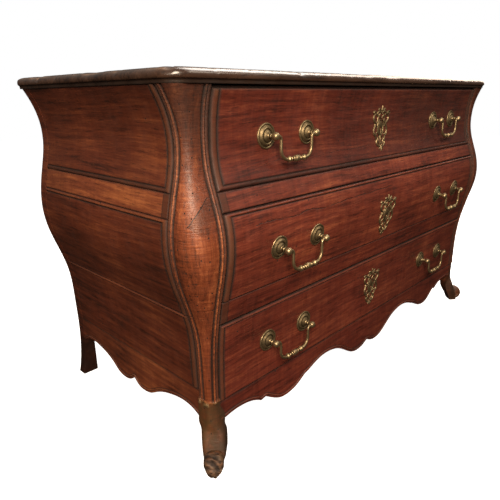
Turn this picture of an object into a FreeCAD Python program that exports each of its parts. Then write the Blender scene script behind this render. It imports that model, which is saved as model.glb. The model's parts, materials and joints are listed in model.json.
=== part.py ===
import FreeCAD, Part
import math
import os
import Sketcher

# Bombe chest with drawers: a mahogany carcase swelling on the front and both sides, three drawers with
# dovetailed corners, and hanging bail handles. X runs along the front, the front faces -Y, Z is up.
# The origin is on the floor, under the middle of the whole chest with its handles.

DOC = FreeCAD.newDocument("bombe_chest")
SHEET = DOC.addObject("Spreadsheet::Sheet", "dims")

# Driving sizes in millimetres. Names ending in share are parts of another size.
SIZES = {
    # carcase
    "chest_height": 830,
    "slab_thickness": 27,
    "waist_half_width": 638,
    "carcase_depth": 596,
    "stile_least_width": 28,
    "stile_depth": 53,
    "back_stile_depth": 30,
    "corner_share": 0.62,
    "panel_thickness": 18,
    "groove_depth": 2.4,
    "groove_width": 2.4,
    "reed_width": 8.5,
    "bead_width": 13,
    "guide_thickness": 8,
    "dust_board_thickness": 12,
    "back_board_thickness": 12,
    "back_joint_share": 0.58,
    "top_rail_thickness": 20,
    "top_rail_width": 45,
    "rail_depth": 53,
    "tenon_length": 14,
    "tenon_thickness": 14,
    "tenon_setback": 34,
    "tenon_shoulder": 7,
    # heights of the front and side divisions from the floor up; the top ones fill what is left
    "apron_top_height": 149,
    "lower_opening_height": 189,
    "lower_rail_height": 50,
    "middle_opening_height": 186,
    "upper_rail_height": 37,
    "side_apron_top_height": 178,
    "side_lower_height": 179,
    "side_middle_height": 209,
    "side_rail_height": 46,
    # slab
    "slab_front_overhang": 8,
    "slab_side_overhang": 7,
    "slab_back_overhang": 8,
    "slab_corner_radius": 46,
    "slab_cove_height": 8,
    "slab_cove_depth": 5,
    "slab_nosing_radius": 8,
    # legs and feet
    "leg_height": 108,
    "scroll_radius": 25,
    "scroll_length": 44,
    "scroll_reach": 13,
    "scroll_rise": 2,
    "reed_foot_height": 158,
    # drawers
    "drawer_gap": 1.5,
    "top_drawer_gap": 4,
    "front_least_thickness": 23,
    "drawer_side_thickness": 13,
    "drawer_back_setback": 50,
    "drawer_side_drop": 10,
    "drawer_bottom_thickness": 8,
    "drawer_bottom_rise": 7,
    "drawer_groove_depth": 6,
    "tail_length": 14,
    "tail_slope": 3,
    "tail_fill_share": 0.6,
    # handles
    "handle_outer_place": 458,
    "handle_spread": 134,
    "upper_handle_share": 0.486,
    "middle_handle_share": 0.447,
    "lower_handle_share": 0.488,
    "rosette_radius": 26.5,
    "rosette_step_radius": 20,
    "rosette_boss_radius": 12,
    "rosette_plate": 3,
    "rosette_step": 3,
    "rosette_boss": 3,
    "rosette_bead": 1.2,
    "post_radius": 5.5,
    "post_standoff": 27,
    "ball_radius": 8,
    "shank_radius": 3,
    "nut_radius": 7,
    "nut_thickness": 4,
    "pin_radius": 3,
    "pin_clearance": 0.05,
    "pin_depth": 5,
    "bail_radius": 3.4,
    "bail_drop": 49,
    "bail_shoulder_radius": 8,
    "bail_elbow_radius": 22,
    "bail_arm_inset": 16,
    "bead_ball_radius": 6,
    "bead_ring_radius": 5,
    "bead_ring_width": 4,
    "bead_barrel_radius": 6.6,
    "bead_barrel_length": 17,
    # keyhole plates and locks
    "plate_height": 118,
    "plate_half_width": 38,
    "plate_thickness": 3,
    "plate_seat": 0.1,
    "upper_plate_share": 0.44,
    "middle_plate_share": 0.397,
    "lower_plate_share": 0.472,
    "keyhole_radius": 4,
    "keyhole_slot": 4,
    "keyhole_drop": 12,
    "lock_width": 70,
    "lock_height": 52,
    "lock_thickness": 11,
    "lock_bolt_width": 22,
    "lock_bolt_rise": 9,
}

# The swelling outline from the slab down to the floor: share of the height under the slab, then how far
# the front stands out from the datum line and the sides stand out from the waist, in millimetres.
LEVELS = [
    (1.000, -2, 63),
    (0.953, -12, 44),
    (0.890, -17, 31),
    (0.816, -13, 33),
    (0.747, 5, 45),
    (0.685, 20, 54),
    (0.623, 25, 55.5),
    (0.554, 18, 46),
    (0.479, 5, 26),
    (0.398, -6, 8),
    (0.274, -12, 1),
    (0.137, -11, 0),
    (0.000, -9, 15),
]
WAIST_LEVEL = 11

# Scalloped lower edge of the front apron from the middle to the leg, in runs between cusps: share of
# the half opening and share of the apron's top height.
FRONT_SCALLOP_SHARES = [
    [(0.000, 0.419), (0.035, 0.354), (0.085, 0.321), (0.132, 0.354), (0.180, 0.456),
     (0.246, 0.617), (0.310, 0.695), (0.369, 0.710), (0.426, 0.668), (0.484, 0.584)],
    [(0.484, 0.584), (0.502, 0.568), (0.535, 0.497), (0.566, 0.436), (0.612, 0.393),
     (0.666, 0.403), (0.700, 0.460), (0.732, 0.539), (0.759, 0.610)],
    [(0.759, 0.610), (0.786, 0.590)],
    [(0.786, 0.590), (0.808, 0.641), (0.835, 0.686), (0.887, 0.725), (0.943, 0.722), (1.000, 0.678)],
]
# The same for the side aprons: share of half the side's length and share of the side apron's height.
SIDE_SCALLOP_SHARES = [
    [(0.000, 0.530), (0.070, 0.465), (0.180, 0.440), (0.290, 0.470), (0.380, 0.540), (0.480, 0.605),
     (0.600, 0.655), (0.740, 0.690), (0.860, 0.685), (0.940, 0.655), (1.000, 0.615)],
]
# Outline of a keyhole plate from its top finial down one side to its lower tip: share of the half width
# and share of the height above and below the middle.
PLATE_SHARES = [
    (0.00, 0.500), (0.12, 0.455), (0.30, 0.440), (0.44, 0.400), (0.36, 0.345), (0.62, 0.345), (0.92, 0.300),
    (1.00, 0.225), (0.80, 0.150), (0.62, 0.085), (0.74, 0.010), (0.82, -0.070), (0.66, -0.150),
    (0.46, -0.205), (0.50, -0.285), (0.36, -0.355), (0.20, -0.400), (0.14, -0.450), (0.00, -0.500),
]

# Pierced openings on the right half of a keyhole plate, as closed loops in the same shares.
PLATE_OPENING_SHARES = [
    [(0.46, 0.255), (0.66, 0.272), (0.80, 0.228), (0.66, 0.172), (0.49, 0.195)],
    [(0.46, 0.050), (0.58, 0.030), (0.64, -0.045), (0.54, -0.105), (0.44, -0.040)],
    [(0.13, -0.215), (0.29, -0.225), (0.33, -0.285), (0.20, -0.340), (0.11, -0.285)],
]

# Level outlines of a front leg from the floor up: share of the leg's height, then five corners as distances
# outward along the diagonal and sideways across it, measured from the corner of the waist.
LEG_SECTIONS = [
    (0.00, ((20, -15), (20, 15), (-4, 17), (-9, 0), (-4, -17))),
    (0.25, ((12, -20), (12, 20), (-16, 21), (-24, 1), (-16, -21))),
    (0.48, ((3, -22), (3, 22), (-28, 24), (-38, 2), (-28, -24))),
    (0.68, ((-5, -22), (-5, 22), (-31, 25), (-43, 4), (-32, -26))),
    (0.85, ((-9, -17), (-9, 17), (-31, 27), (-47, 7), (-28, -25))),
    (1.00, ((-8.5, -8.5), (-8.5, 8.5), (-29.7, 29.7), (-49.4, 9.9), (-19.8, -19.8))),
]

TAIL_COUNT = 3
DIAGONAL_SHARE = 0.5 ** 0.5
ALONG_X = FreeCAD.Rotation(FreeCAD.Vector(0, 1, 0), 90)
ALONG_Y = FreeCAD.Rotation(FreeCAD.Vector(1, 0, 0), -90)
UPRIGHT = FreeCAD.Rotation()
OUTWARD = FreeCAD.Rotation(FreeCAD.Vector(0, 0, 1), 180)
FULL_TURN = 360


class Size:
    """A length with the formula that ties it to the sheet and its present value."""

    def __init__(self, formula, value):
        self.formula = formula
        self.value = value

    def __add__(self, other):
        other = as_size(other)
        return Size(f"({self.formula} + {other.formula})", self.value + other.value)

    def __sub__(self, other):
        other = as_size(other)
        return Size(f"({self.formula} - {other.formula})", self.value - other.value)

    def __mul__(self, other):
        other = as_size(other)
        return Size(f"({self.formula} * {other.formula})", self.value * other.value)

    def __truediv__(self, other):
        other = as_size(other)
        return Size(f"({self.formula} / {other.formula})", self.value / other.value)

    def __neg__(self):
        return Size(f"(0 - {self.formula})", -self.value)

    __radd__ = __add__
    __rmul__ = __mul__


def as_size(thing):
    """A plain number becomes a constant formula."""
    if isinstance(thing, Size):
        return thing
    return Size(f"({thing:.9g})", thing)


def lesser(one, two):
    """The smaller of two sizes, in the formula as well as in the value."""
    return Size(f"min({one.formula}; {two.formula})", min(one.value, two.value))


ROWS_USED = []


def cell(name, value):
    """Write one driving number in the next row of the sheet and hand back its size."""
    ROWS_USED.append(name)
    row = len(ROWS_USED)
    SHEET.set(f"A{row}", name)
    SHEET.set(f"B{row}", f"{value:g}")
    SHEET.setAlias(f"B{row}", name)
    return Size(f"dims.{name}", value)


D = {name: cell(name, value) for name, value in SIZES.items()}
BODY_HEIGHT = D["chest_height"] - D["slab_thickness"]
PROFILE = []
for count, (share, front, side) in enumerate(LEVELS, start=1):
    PROFILE.append((
        BODY_HEIGHT * cell(f"level{count}_share", share),
        cell(f"level{count}_front", front),
        D["waist_half_width"] + cell(f"level{count}_side", side),
    ))
DOC.recompute()

def front_at(height):
    """How far the front stands out from the datum at a height, by straight lines between the levels."""
    for (high, out_high, _), (low, out_low, _) in zip(PROFILE, PROFILE[1:]):
        if low.value <= height.value <= high.value:
            return out_low + (out_high - out_low) * (height - low) / (high - low)
    raise ValueError("height is outside the chest")


# Places that follow from the driving sizes.
APRON_TOP = D["apron_top_height"]
LOWER_RAIL_FOOT = APRON_TOP + D["lower_opening_height"]
LOWER_RAIL_TOP = LOWER_RAIL_FOOT + D["lower_rail_height"]
UPPER_RAIL_FOOT = LOWER_RAIL_TOP + D["middle_opening_height"]
UPPER_RAIL_TOP = UPPER_RAIL_FOOT + D["upper_rail_height"]
MIDDLE_HANDLE = LOWER_RAIL_TOP + D["middle_opening_height"] * D["middle_handle_share"]
FRONT_REACH = front_at(MIDDLE_HANDLE) + D["post_standoff"] + D["ball_radius"]
WHOLE_DEPTH = FRONT_REACH + D["carcase_depth"] + D["slab_back_overhang"]
DATUM = FRONT_REACH - WHOLE_DEPTH * 0.5
BACK = DATUM + D["carcase_depth"]
OPENING = D["waist_half_width"] - D["stile_least_width"]
STILE_BACK = DATUM + D["stile_depth"]
BACK_STILE_FRONT = BACK - D["back_stile_depth"]
BACK_BOARD_FRONT = BACK - D["back_board_thickness"]
FAR = D["chest_height"] * 2
NIL = as_size(0)


def bind(thing, **formulas):
    """Tie properties of a document object to the sheet."""
    for prop, size in formulas.items():
        thing.setExpression(prop.replace("__", "."), as_size(size).formula)


def put(thing, x, y, z, turn=UPRIGHT):
    """Place an object by three sizes and a fixed turn."""
    thing.Placement = FreeCAD.Placement(FreeCAD.Vector(x.value, y.value, z.value), turn)
    bind(thing, Placement__Base__x=x, Placement__Base__y=y, Placement__Base__z=z)
    return thing


def box(name, low, high):
    """A block between two corners."""
    block = DOC.addObject("Part::Box", name)
    bind(block, Length=high[0] - low[0], Width=high[1] - low[1], Height=high[2] - low[2])
    return put(block, *low)


def rod(name, centre, radius, length, turn):
    """A cylinder that starts at a point and runs along the turned axis."""
    shaft = DOC.addObject("Part::Cylinder", name)
    bind(shaft, Radius=radius, Height=length)
    return put(shaft, *centre, turn)


def fuse(name, *pieces):
    joined = DOC.addObject("Part::MultiFuse", name)
    joined.Shapes = list(pieces)
    joined.Refine = False
    return joined


def cut(name, base, *tools):
    result = DOC.addObject("Part::Cut", name)
    result.Base = base
    result.Tool = tools[0] if len(tools) == 1 else fuse(f"{name}_tools", *tools)
    result.Refine = False
    return result


def common(name, one, two):
    result = DOC.addObject("Part::MultiCommon", name)
    result.Shapes = [one, two]
    result.Refine = False
    return result


def section(name, height, front, half_width, inset):
    """One level outline of the chest: square at the back, with round front corners."""
    reach = lesser(half_width - OPENING, D["stile_depth"] + front)
    radius = reach * D["corner_share"] - inset * (1 - DIAGONAL_SHARE)
    side = half_width - inset
    face = DATUM - front + inset
    points = [
        (side, BACK), (side, face + radius), (side - radius, face),
        (radius - side, face), (-side, face + radius), (-side, BACK),
    ]
    spots = [FreeCAD.Vector(x.value, y.value, 0) for x, y in points]
    sketch = DOC.addObject("Sketcher::SketchObject", name)
    bow = radius.value * (1 - DIAGONAL_SHARE)
    right_mid = FreeCAD.Vector(side.value - bow, face.value + bow, 0)
    left_mid = FreeCAD.Vector(bow - side.value, face.value + bow, 0)
    sketch.addGeometry([
        Part.LineSegment(spots[0], spots[1]),
        Part.Arc(spots[1], right_mid, spots[2]),
        Part.LineSegment(spots[2], spots[3]),
        Part.Arc(spots[3], left_mid, spots[4]),
        Part.LineSegment(spots[4], spots[5]),
        Part.LineSegment(spots[5], spots[0]),
    ], False)
    start, end = 1, 2
    right, right_arc, front_line, left_arc, left, back = range(len(points))
    sketch.addConstraint([
        Sketcher.Constraint("Tangent", right, end, right_arc, end),
        Sketcher.Constraint("Coincident", right_arc, start, front_line, start),
        Sketcher.Constraint("Coincident", front_line, end, left_arc, end),
        Sketcher.Constraint("Tangent", left_arc, start, left, start),
        Sketcher.Constraint("Coincident", left, end, back, start),
        Sketcher.Constraint("Coincident", back, end, right, start),
    ])
    for line, place, (x, y) in (
        (right, start, points[0]), (right, end, points[1]), (front_line, start, points[2]),
        (front_line, end, points[3]), (left, start, points[4]), (left, end, points[5]),
    ):
        for kind, size in (("DistanceX", x), ("DistanceY", y)):
            mark = sketch.addConstraint(Sketcher.Constraint(kind, -1, 1, line, place, size.value))
            sketch.setExpression(f"Constraints[{mark}]", size.formula)
    sketch.Placement = FreeCAD.Placement(FreeCAD.Vector(0, 0, height.value), UPRIGHT)
    bind(sketch, Placement__Base__z=height)
    return sketch


def bombe_block(name, inset):
    """The whole swelling body as one smooth block, its skin set in by a given amount."""
    block = DOC.addObject("Part::Loft", name)
    block.Sections = [
        section(f"{name}_level{count}", *spot, inset) for count, spot in enumerate(reversed(PROFILE), start=1)
    ]
    block.Solid = True
    block.Ruled = False
    return block


BLOCK = bombe_block("block", NIL)
GROOVE_SKIN = cut("groove_skin", BLOCK, bombe_block("groove_floor", D["groove_depth"]))
PANEL_SKIN = cut("panel_skin", BLOCK, bombe_block("panel_inside", D["panel_thickness"]))
PLATE_SKIN = cut("plate_skin", bombe_block("plate_outside", -D["plate_thickness"]),
                 bombe_block("plate_inside", -D["plate_seat"]))


def polygon(sketch, points):
    """A closed outline with every corner tied to the sheet."""
    spots = [FreeCAD.Vector(x.value, y.value, 0) for x, y in points]
    for one, two in zip(spots, spots[1:] + spots[:1]):
        sketch.addGeometry(Part.LineSegment(one, two), False)
    for line in range(len(points)):
        sketch.addConstraint(Sketcher.Constraint("Coincident", line, 2, (line + 1) % len(points), 1))
    for line, (x, y) in enumerate(points):
        for kind, size in (("DistanceX", x), ("DistanceY", y)):
            mark = sketch.addConstraint(Sketcher.Constraint(kind, -1, 1, line, 1, size.value))
            sketch.setExpression(f"Constraints[{mark}]", size.formula)
    return sketch


def region(name, skin, low, high):
    """The part of a skin or block inside a straight-sided region."""
    return common(name, skin, box(f"{name}_region", low, high))


def groove_ring(name, low, high, axis):
    """A shallow groove following the skin, a bead's width inside a rectangle on the front or a side."""
    inner, outer = D["bead_width"] + D["groove_width"], D["bead_width"]
    rims = []
    for label, margin in (("outer", outer), ("inner", inner)):
        lows = [place + margin if side != axis else place for side, place in enumerate(low)]
        highs = [place - margin if side != axis else place for side, place in enumerate(high)]
        rims.append(box(f"{name}_{label}", lows, highs))
    return common(f"{name}_groove", GROOVE_SKIN, cut(f"{name}_ring", *rims))


def outline(name, runs, corners, turn, shift):
    """A flat closed outline: smooth runs of points, then straight lines through the corners."""
    sketch = DOC.addObject("Sketcher::SketchObject", name)
    for run in runs:
        curve = Part.BSplineCurve()
        curve.interpolate([FreeCAD.Vector(x.value, z.value, 0) for x, z in run])
        sketch.addGeometry(curve, False)
    path = [runs[-1][-1], *corners, runs[0][0]] if corners else []
    for (x1, z1), (x2, z2) in zip(path, path[1:]):
        sketch.addGeometry(Part.LineSegment(
            FreeCAD.Vector(x1.value, z1.value, 0), FreeCAD.Vector(x2.value, z2.value, 0)), False)
    return put(sketch, *shift, turn)


def prism(name, sketch, direction, length):
    """A flat outline drawn out along a direction."""
    solid = DOC.addObject("Part::Extrusion", name)
    solid.Base = sketch
    solid.DirMode = "Custom"
    solid.Dir = direction
    solid.Solid = True
    bind(solid, LengthFwd=length)
    return solid


def scallop_runs(half_runs, half_length, height):
    """Both halves of a scalloped edge from its left end to its right end."""
    right = [[(half_length * across, height * up) for across, up in run] for run in half_runs]
    left = [[(-x, z) for x, z in reversed(run)] for run in reversed(right)]
    return left + right


FACING_FRONT = FreeCAD.Rotation(FreeCAD.Vector(1, 0, 0), 90)
FACING_SIDE = FreeCAD.Rotation(FreeCAD.Vector(1, 1, 1), 120)
PIECES = {}


def keep(node, thing):
    """Register a finished piece under its node name."""
    thing.Label = node
    PIECES[node] = thing
    return thing


# Front rails and apron, with tenons for the stiles.
FRONT_FAR = DATUM - FAR
RAIL_BACK = DATUM + D["rail_depth"]
TENON_FRONT = DATUM + D["tenon_setback"]
TENON_BACK = TENON_FRONT + D["tenon_thickness"]


def tenoned(name, blank, foot, top):
    """A rail with a tenon on each end."""
    ends = [blank]
    for side, low, high in (("left", -OPENING - D["tenon_length"], -OPENING),
                            ("right", OPENING, OPENING + D["tenon_length"])):
        ends.append(box(f"{name}_tenon_{side}", (low, TENON_FRONT, foot + D["tenon_shoulder"]),
                        (high, TENON_BACK, top - D["tenon_shoulder"])))
    return fuse(f"{name}_whole", *ends)


RAILS = {}
for node, foot, top in (
    ("rail_upper", UPPER_RAIL_FOOT, UPPER_RAIL_TOP),
    ("rail_lower", LOWER_RAIL_FOOT, LOWER_RAIL_TOP),
):
    blank = region(f"{node}_blank", BLOCK, (-OPENING, FRONT_FAR, foot), (OPENING, RAIL_BACK, top))
    RAILS[node] = keep(node, tenoned(node, blank, foot, top))

LEG_TOP = D["leg_height"]
apron_face = outline(
    "front_apron_face", scallop_runs(FRONT_SCALLOP_SHARES, OPENING, APRON_TOP),
    [(OPENING, APRON_TOP), (-OPENING, APRON_TOP)], FACING_FRONT, (NIL, TENON_BACK, NIL))
apron_blank = common(
    "front_apron_blank", BLOCK, prism("front_apron_prism", apron_face, FreeCAD.Vector(0, -1, 0), FAR))
RAILS["front_apron"] = keep("front_apron", tenoned("front_apron", apron_blank, LEG_TOP, APRON_TOP))

def diagonal_spot(sign, outward, sideways):
    """Plan place from the waist corner, given along the diagonal and across it."""
    outward, sideways = as_size(outward) * DIAGONAL_SHARE, as_size(sideways) * DIAGONAL_SHARE
    corner_y = DATUM - PROFILE[WAIST_LEVEL][1]
    return sign * (D["waist_half_width"] + outward + sideways), corner_y - outward + sideways


def front_leg(node, sign):
    """The leg under a front stile, curling outward along the diagonal to its foot."""
    rings = []
    for count, (share, corners) in enumerate(LEG_SECTIONS, start=1):
        ring = DOC.addObject("Sketcher::SketchObject", f"{node}_leg_level{count}")
        polygon(ring, [diagonal_spot(sign, *corner) for corner in corners])
        rings.append(put(ring, NIL, NIL, LEG_TOP * share))
    leg = DOC.addObject("Part::Loft", f"{node}_leg")
    leg.Sections = rings
    leg.Solid = True
    leg.Ruled = False
    return leg


# Front stiles: reeds along both edges, mortises for the rails, a leg and a scrolled foot.
for side, sign in (("left", -1), ("right", 1)):
    node = f"stile_front_{side}"

    def span(near, far, sign=sign):
        """Low and high X of a stretch beside the middle, on the chosen side."""
        return (near, far) if sign > 0 else (-far, -near)

    x_low, x_high = span(OPENING, FAR)
    post = region(f"{node}_post", BLOCK, (x_low, FRONT_FAR, LEG_TOP), (x_high, STILE_BACK, BODY_HEIGHT))
    leg = front_leg(node, sign)
    half = D["scroll_length"] * 0.5
    start_x, start_y = diagonal_spot(sign, D["scroll_reach"], -half)
    scroll_z = D["scroll_radius"] + D["scroll_rise"]
    scroll = rod(f"{node}_scroll", (start_x, start_y, scroll_z), D["scroll_radius"],
                 D["scroll_length"], FreeCAD.Rotation(FreeCAD.Vector(0, 0, 1), FreeCAD.Vector(sign, 1, 0)))
    reeds = []
    for count in (1, 2):
        offset = D["reed_width"] * count + D["groove_width"] * (count - 1)
        x_low, x_high = span(OPENING + offset, OPENING + offset + D["groove_width"])
        reeds.append(box(f"{node}_front_reed{count}", (x_low, FRONT_FAR, D["reed_foot_height"]),
                         (x_high, STILE_BACK - D["stile_depth"] * 0.5, BODY_HEIGHT)))
        y_high = STILE_BACK - offset
        x_low, x_high = span(OPENING, FAR)
        reeds.append(box(f"{node}_side_reed{count}",
                         (x_low, y_high - D["groove_width"], D["reed_foot_height"]),
                         (x_high, y_high, BODY_HEIGHT)))
    grooves = common(f"{node}_grooves", GROOVE_SKIN, fuse(f"{node}_reeds", *reeds))
    reeded = cut(f"{node}_reeded", fuse(f"{node}_blank", post, leg, scroll), grooves)
    keep(node, cut(f"{node}_mortised", reeded, *RAILS.values()))

    # Back stile, running down to the floor.
    x_low, x_high = span(OPENING, FAR)
    keep(f"stile_back_{side}", region(
        f"stile_back_{side}_post", BLOCK, (x_low, BACK_STILE_FRONT, NIL), (x_high, BACK, BODY_HEIGHT)))

    # Side panels between the stiles, each with a bead round its edge; the strip between them is plain.
    floors = [D["side_apron_top_height"]]
    for size in ("side_lower_height", "side_middle_height", "side_rail_height"):
        floors.append(floors[-1] + D[size])
    floors.append(BODY_HEIGHT)
    names = ["side_panel_lower", "side_panel_middle", "side_rail", "side_panel_upper"]
    for name, foot, top in zip(names, floors, floors[1:]):
        label = f"{name}_{side}"
        low, high = (x_low, STILE_BACK, foot), (x_high, BACK_STILE_FRONT, top)
        panel = region(f"{label}_blank", PANEL_SKIN, low, high)
        if name != "side_rail":
            panel = cut(f"{label}_beaded", panel, groove_ring(label, low, high, axis=0))
        keep(label, panel)

    half_side = (BACK_STILE_FRONT - STILE_BACK) * 0.5
    middle = STILE_BACK + half_side
    edge = outline(
        f"side_apron_{side}_face", scallop_runs(SIDE_SCALLOP_SHARES, half_side, floors[0]),
        [(half_side, floors[0]), (-half_side, floors[0])], FACING_SIDE, (sign * OPENING, middle, NIL))
    keep(f"side_apron_{side}", common(
        f"side_apron_{side}_cut", PANEL_SKIN,
        prism(f"side_apron_{side}_prism", edge, FreeCAD.Vector(sign, 0, 0), FAR)))

    # Plain inner board that guides the drawers.
    x_low, x_high = span(OPENING, OPENING + D["guide_thickness"])
    keep(f"drawer_guide_{side}", box(
        f"drawer_guide_{side}_board", (x_low, STILE_BACK, APRON_TOP - D["dust_board_thickness"]),
        (x_high, BACK_STILE_FRONT, BODY_HEIGHT)))

# Boards between and under the drawers, the back, and the hidden rails under the slab.
for node, top, front in (
    ("dust_board_upper", UPPER_RAIL_TOP, RAIL_BACK),
    ("dust_board_lower", LOWER_RAIL_TOP, RAIL_BACK),
    ("bottom_board", APRON_TOP, TENON_BACK),
):
    keep(node, box(f"{node}_sheet", (-OPENING, front, top - D["dust_board_thickness"]),
                   (OPENING, BACK_BOARD_FRONT, top)))
back_joint = BODY_HEIGHT * D["back_joint_share"]
for node, foot, top in (
    ("back_board_lower", APRON_TOP - D["dust_board_thickness"], back_joint),
    ("back_board_upper", back_joint, BODY_HEIGHT),
):
    keep(node, box(f"{node}_sheet", (-OPENING, BACK_BOARD_FRONT, foot), (OPENING, BACK, top)))
TOP_RAIL_FOOT = BODY_HEIGHT - D["top_rail_thickness"]
TOP_RAIL_FRONT = STILE_BACK - D["rail_depth"] + D["tenon_setback"] + D["tenon_thickness"]
for node, front in (("top_rail_front", TOP_RAIL_FRONT),
                    ("top_rail_back", BACK_BOARD_FRONT - D["top_rail_width"])):
    keep(node, box(f"{node}_strip", (-OPENING, front, TOP_RAIL_FOOT),
                   (OPENING, front + D["top_rail_width"], BODY_HEIGHT)))


def body_sketch(body, plane, name):
    """A sketch on one of a body's own origin planes."""
    sketch = body.newObject("Sketcher::SketchObject", name)
    planes = {"XY": 3, "XZ": 4, "YZ": 5}
    sketch.AttachmentSupport = [(body.Origin.OriginFeatures[planes[plane]], "")]
    sketch.MapMode = "FlatFace"
    return sketch


# The slab: a cove under a rounded nosing.
SLAB_SIDE = PROFILE[0][2] + D["slab_side_overhang"]
SLAB_FRONT = DATUM - PROFILE[0][1] - D["slab_front_overhang"]
SLAB_BACK = BACK + D["slab_back_overhang"]
slab_layers = []
for layer, inset, foot, top in (
    ("cove", D["slab_cove_depth"], BODY_HEIGHT, BODY_HEIGHT + D["slab_cove_height"]),
    ("nosing", NIL, BODY_HEIGHT + D["slab_cove_height"], D["chest_height"]),
):
    radius = D["slab_corner_radius"] - inset
    side, front = SLAB_SIDE - inset, SLAB_FRONT + inset
    sheet_low, sheet_high = (-side, front, foot), (side, SLAB_BACK, top)
    raw = box(f"slab_{layer}_sheet", sheet_low, sheet_high)
    corners = []
    for end, sign in (("left", -1), ("right", 1)):
        low, high = (-side, radius - side) if sign < 0 else (side - radius, side)
        square = box(f"slab_{layer}_square_{end}", (low, front, foot), (high, front + radius, top))
        round_rod = rod(f"slab_{layer}_round_{end}", (sign * (side - radius), front + radius, foot),
                        radius, top - foot, UPRIGHT)
        corners.append(cut(f"slab_{layer}_waste_{end}", square, round_rod))
    slab_layers.append(cut(f"slab_{layer}", raw, *corners))
DOC.recompute()
nosing = DOC.addObject("Part::Fillet", "slab_nosing_rounded")
nosing.Base = slab_layers[1]
slab_mid = D["chest_height"].value - D["slab_nosing_radius"].value
nosing.Edges = [
    (count, D["slab_nosing_radius"].value, D["slab_nosing_radius"].value)
    for count, edge in enumerate(slab_layers[1].Shape.Edges, start=1)
    if edge.BoundBox.ZLength < D["groove_width"].value and edge.BoundBox.ZMin > slab_mid
    and edge.BoundBox.YMin < SLAB_BACK.value - D["groove_width"].value
]
keep("top_slab", fuse("top_slab_whole", slab_layers[0], nosing))

# Drawers with their handles, keyhole plates and locks.
GAP = D["drawer_gap"]
DRAWER_HALF = OPENING - GAP
DRAWER_BACK = BACK_BOARD_FRONT - D["drawer_back_setback"]
SIDE_IN = DRAWER_HALF - D["drawer_side_thickness"]


def tilt_about(pivot_y, height):
    """Turn about the pivot line that squares a fitting to the swelling front at that height."""
    span = D["rosette_radius"]
    rise = front_at(height + span).value - front_at(height - span).value
    turn = FreeCAD.Rotation(FreeCAD.Vector(1, 0, 0), math.degrees(math.atan2(rise, 2 * span.value)))
    return FreeCAD.Placement(FreeCAD.Vector(), turn, FreeCAD.Vector(0, pivot_y.value, height.value))


def tails(shoulder, tip, foot, top):
    """Corners of a row of dovetails from the foot up."""
    pitch = (top - foot) / TAIL_COUNT
    half = pitch * D["tail_fill_share"] * 0.5
    corners = []
    for count in range(TAIL_COUNT):
        middle = foot + pitch * (count + 0.5)
        corners += [
            (shoulder, middle - half + D["tail_slope"]), (tip, middle - half),
            (tip, middle + half), (shoulder, middle + half - D["tail_slope"]),
        ]
    return corners


def bail(node, x, y, z):
    """A hanging bail: pins, round arms, and a lower bar turned with beads."""
    body = DOC.addObject("PartDesign::Body", f"{node}_body")
    reach = D["handle_spread"] * 0.5
    arm = reach - D["bail_arm_inset"]
    drop = D["bail_drop"]
    shoulder, elbow = D["bail_shoulder_radius"], D["bail_elbow_radius"]
    pin_end = reach + D["pin_depth"]
    path = body_sketch(body, "XZ", f"{node}_path")

    def at(across, up):
        return FreeCAD.Vector(across.value, up.value, 0)

    def bend(one, middle, two):
        return Part.Arc(at(*one), at(*middle), at(*two))

    keepers = (1 - DIAGONAL_SHARE)
    for sign in (-1, 1):
        ends = [(sign * pin_end, NIL), (sign * (arm + shoulder), NIL), (sign * arm, -shoulder),
                (sign * arm, elbow - drop), (sign * (arm - elbow), -drop)]
        path.addGeometry(Part.LineSegment(at(*ends[0]), at(*ends[1])), False)
        path.addGeometry(bend(ends[1], (sign * (arm + shoulder * keepers), -(shoulder * keepers)), ends[2]), False)
        path.addGeometry(Part.LineSegment(at(*ends[2]), at(*ends[3])), False)
        path.addGeometry(bend(ends[3], (sign * (arm - elbow * keepers), elbow * keepers - drop), ends[4]), False)
    path.addGeometry(Part.LineSegment(at(elbow - arm, -drop), at(arm - elbow, -drop)), False)
    ring = body_sketch(body, "YZ", f"{node}_ring")
    ring.AttachmentOffset = FreeCAD.Placement(FreeCAD.Vector(0, 0, -pin_end.value), UPRIGHT)
    bind(ring, AttachmentOffset__Base__z=-pin_end)
    ring.addGeometry(Part.Circle(FreeCAD.Vector(), FreeCAD.Vector(0, 0, 1), D["pin_radius"].value), False)
    mark = ring.addConstraint(Sketcher.Constraint("Radius", 0, D["pin_radius"].value))
    ring.setExpression(f"Constraints[{mark}]", D["pin_radius"].formula)
    pipe = body.newObject("PartDesign::AdditivePipe", f"{node}_pipe")
    pipe.Profile = ring
    pipe.Spine = (path, [])
    beads = body_sketch(body, "XZ", f"{node}_beads")
    barrel, ball, band = D["bead_barrel_length"] * 0.5, D["bead_ball_radius"], D["bead_ring_width"]
    ball_far = barrel + ball * 2
    steps = [
        (NIL, D["bead_barrel_radius"]), (barrel * 0.5, D["bead_barrel_radius"]), (barrel, D["bail_radius"]),
        (barrel + ball * 0.5, ball * 0.9), (barrel + ball, ball), (barrel + ball * 1.5, ball * 0.9),
        (ball_far, D["bail_radius"]), (ball_far + band * 0.4, D["bead_ring_radius"]),
        (ball_far + band, D["bead_ring_radius"]), (ball_far + band * 1.4, D["bail_radius"]),
    ]
    rim = [(-across, up - drop) for across, up in reversed(steps[1:])]
    rim += [(across, up - drop) for across, up in steps]
    far = ball_far + band * 1.4
    polygon(beads, [*rim, (far, -drop), (-far, -drop)])
    turned = body.newObject("PartDesign::Revolution", f"{node}_turned")
    turned.Profile = beads
    turned.ReferenceAxis = (beads, [f"Edge{len(rim) + 1}"])
    turned.Angle = FULL_TURN
    return keep(node, put(body, x, y, z))


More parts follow.
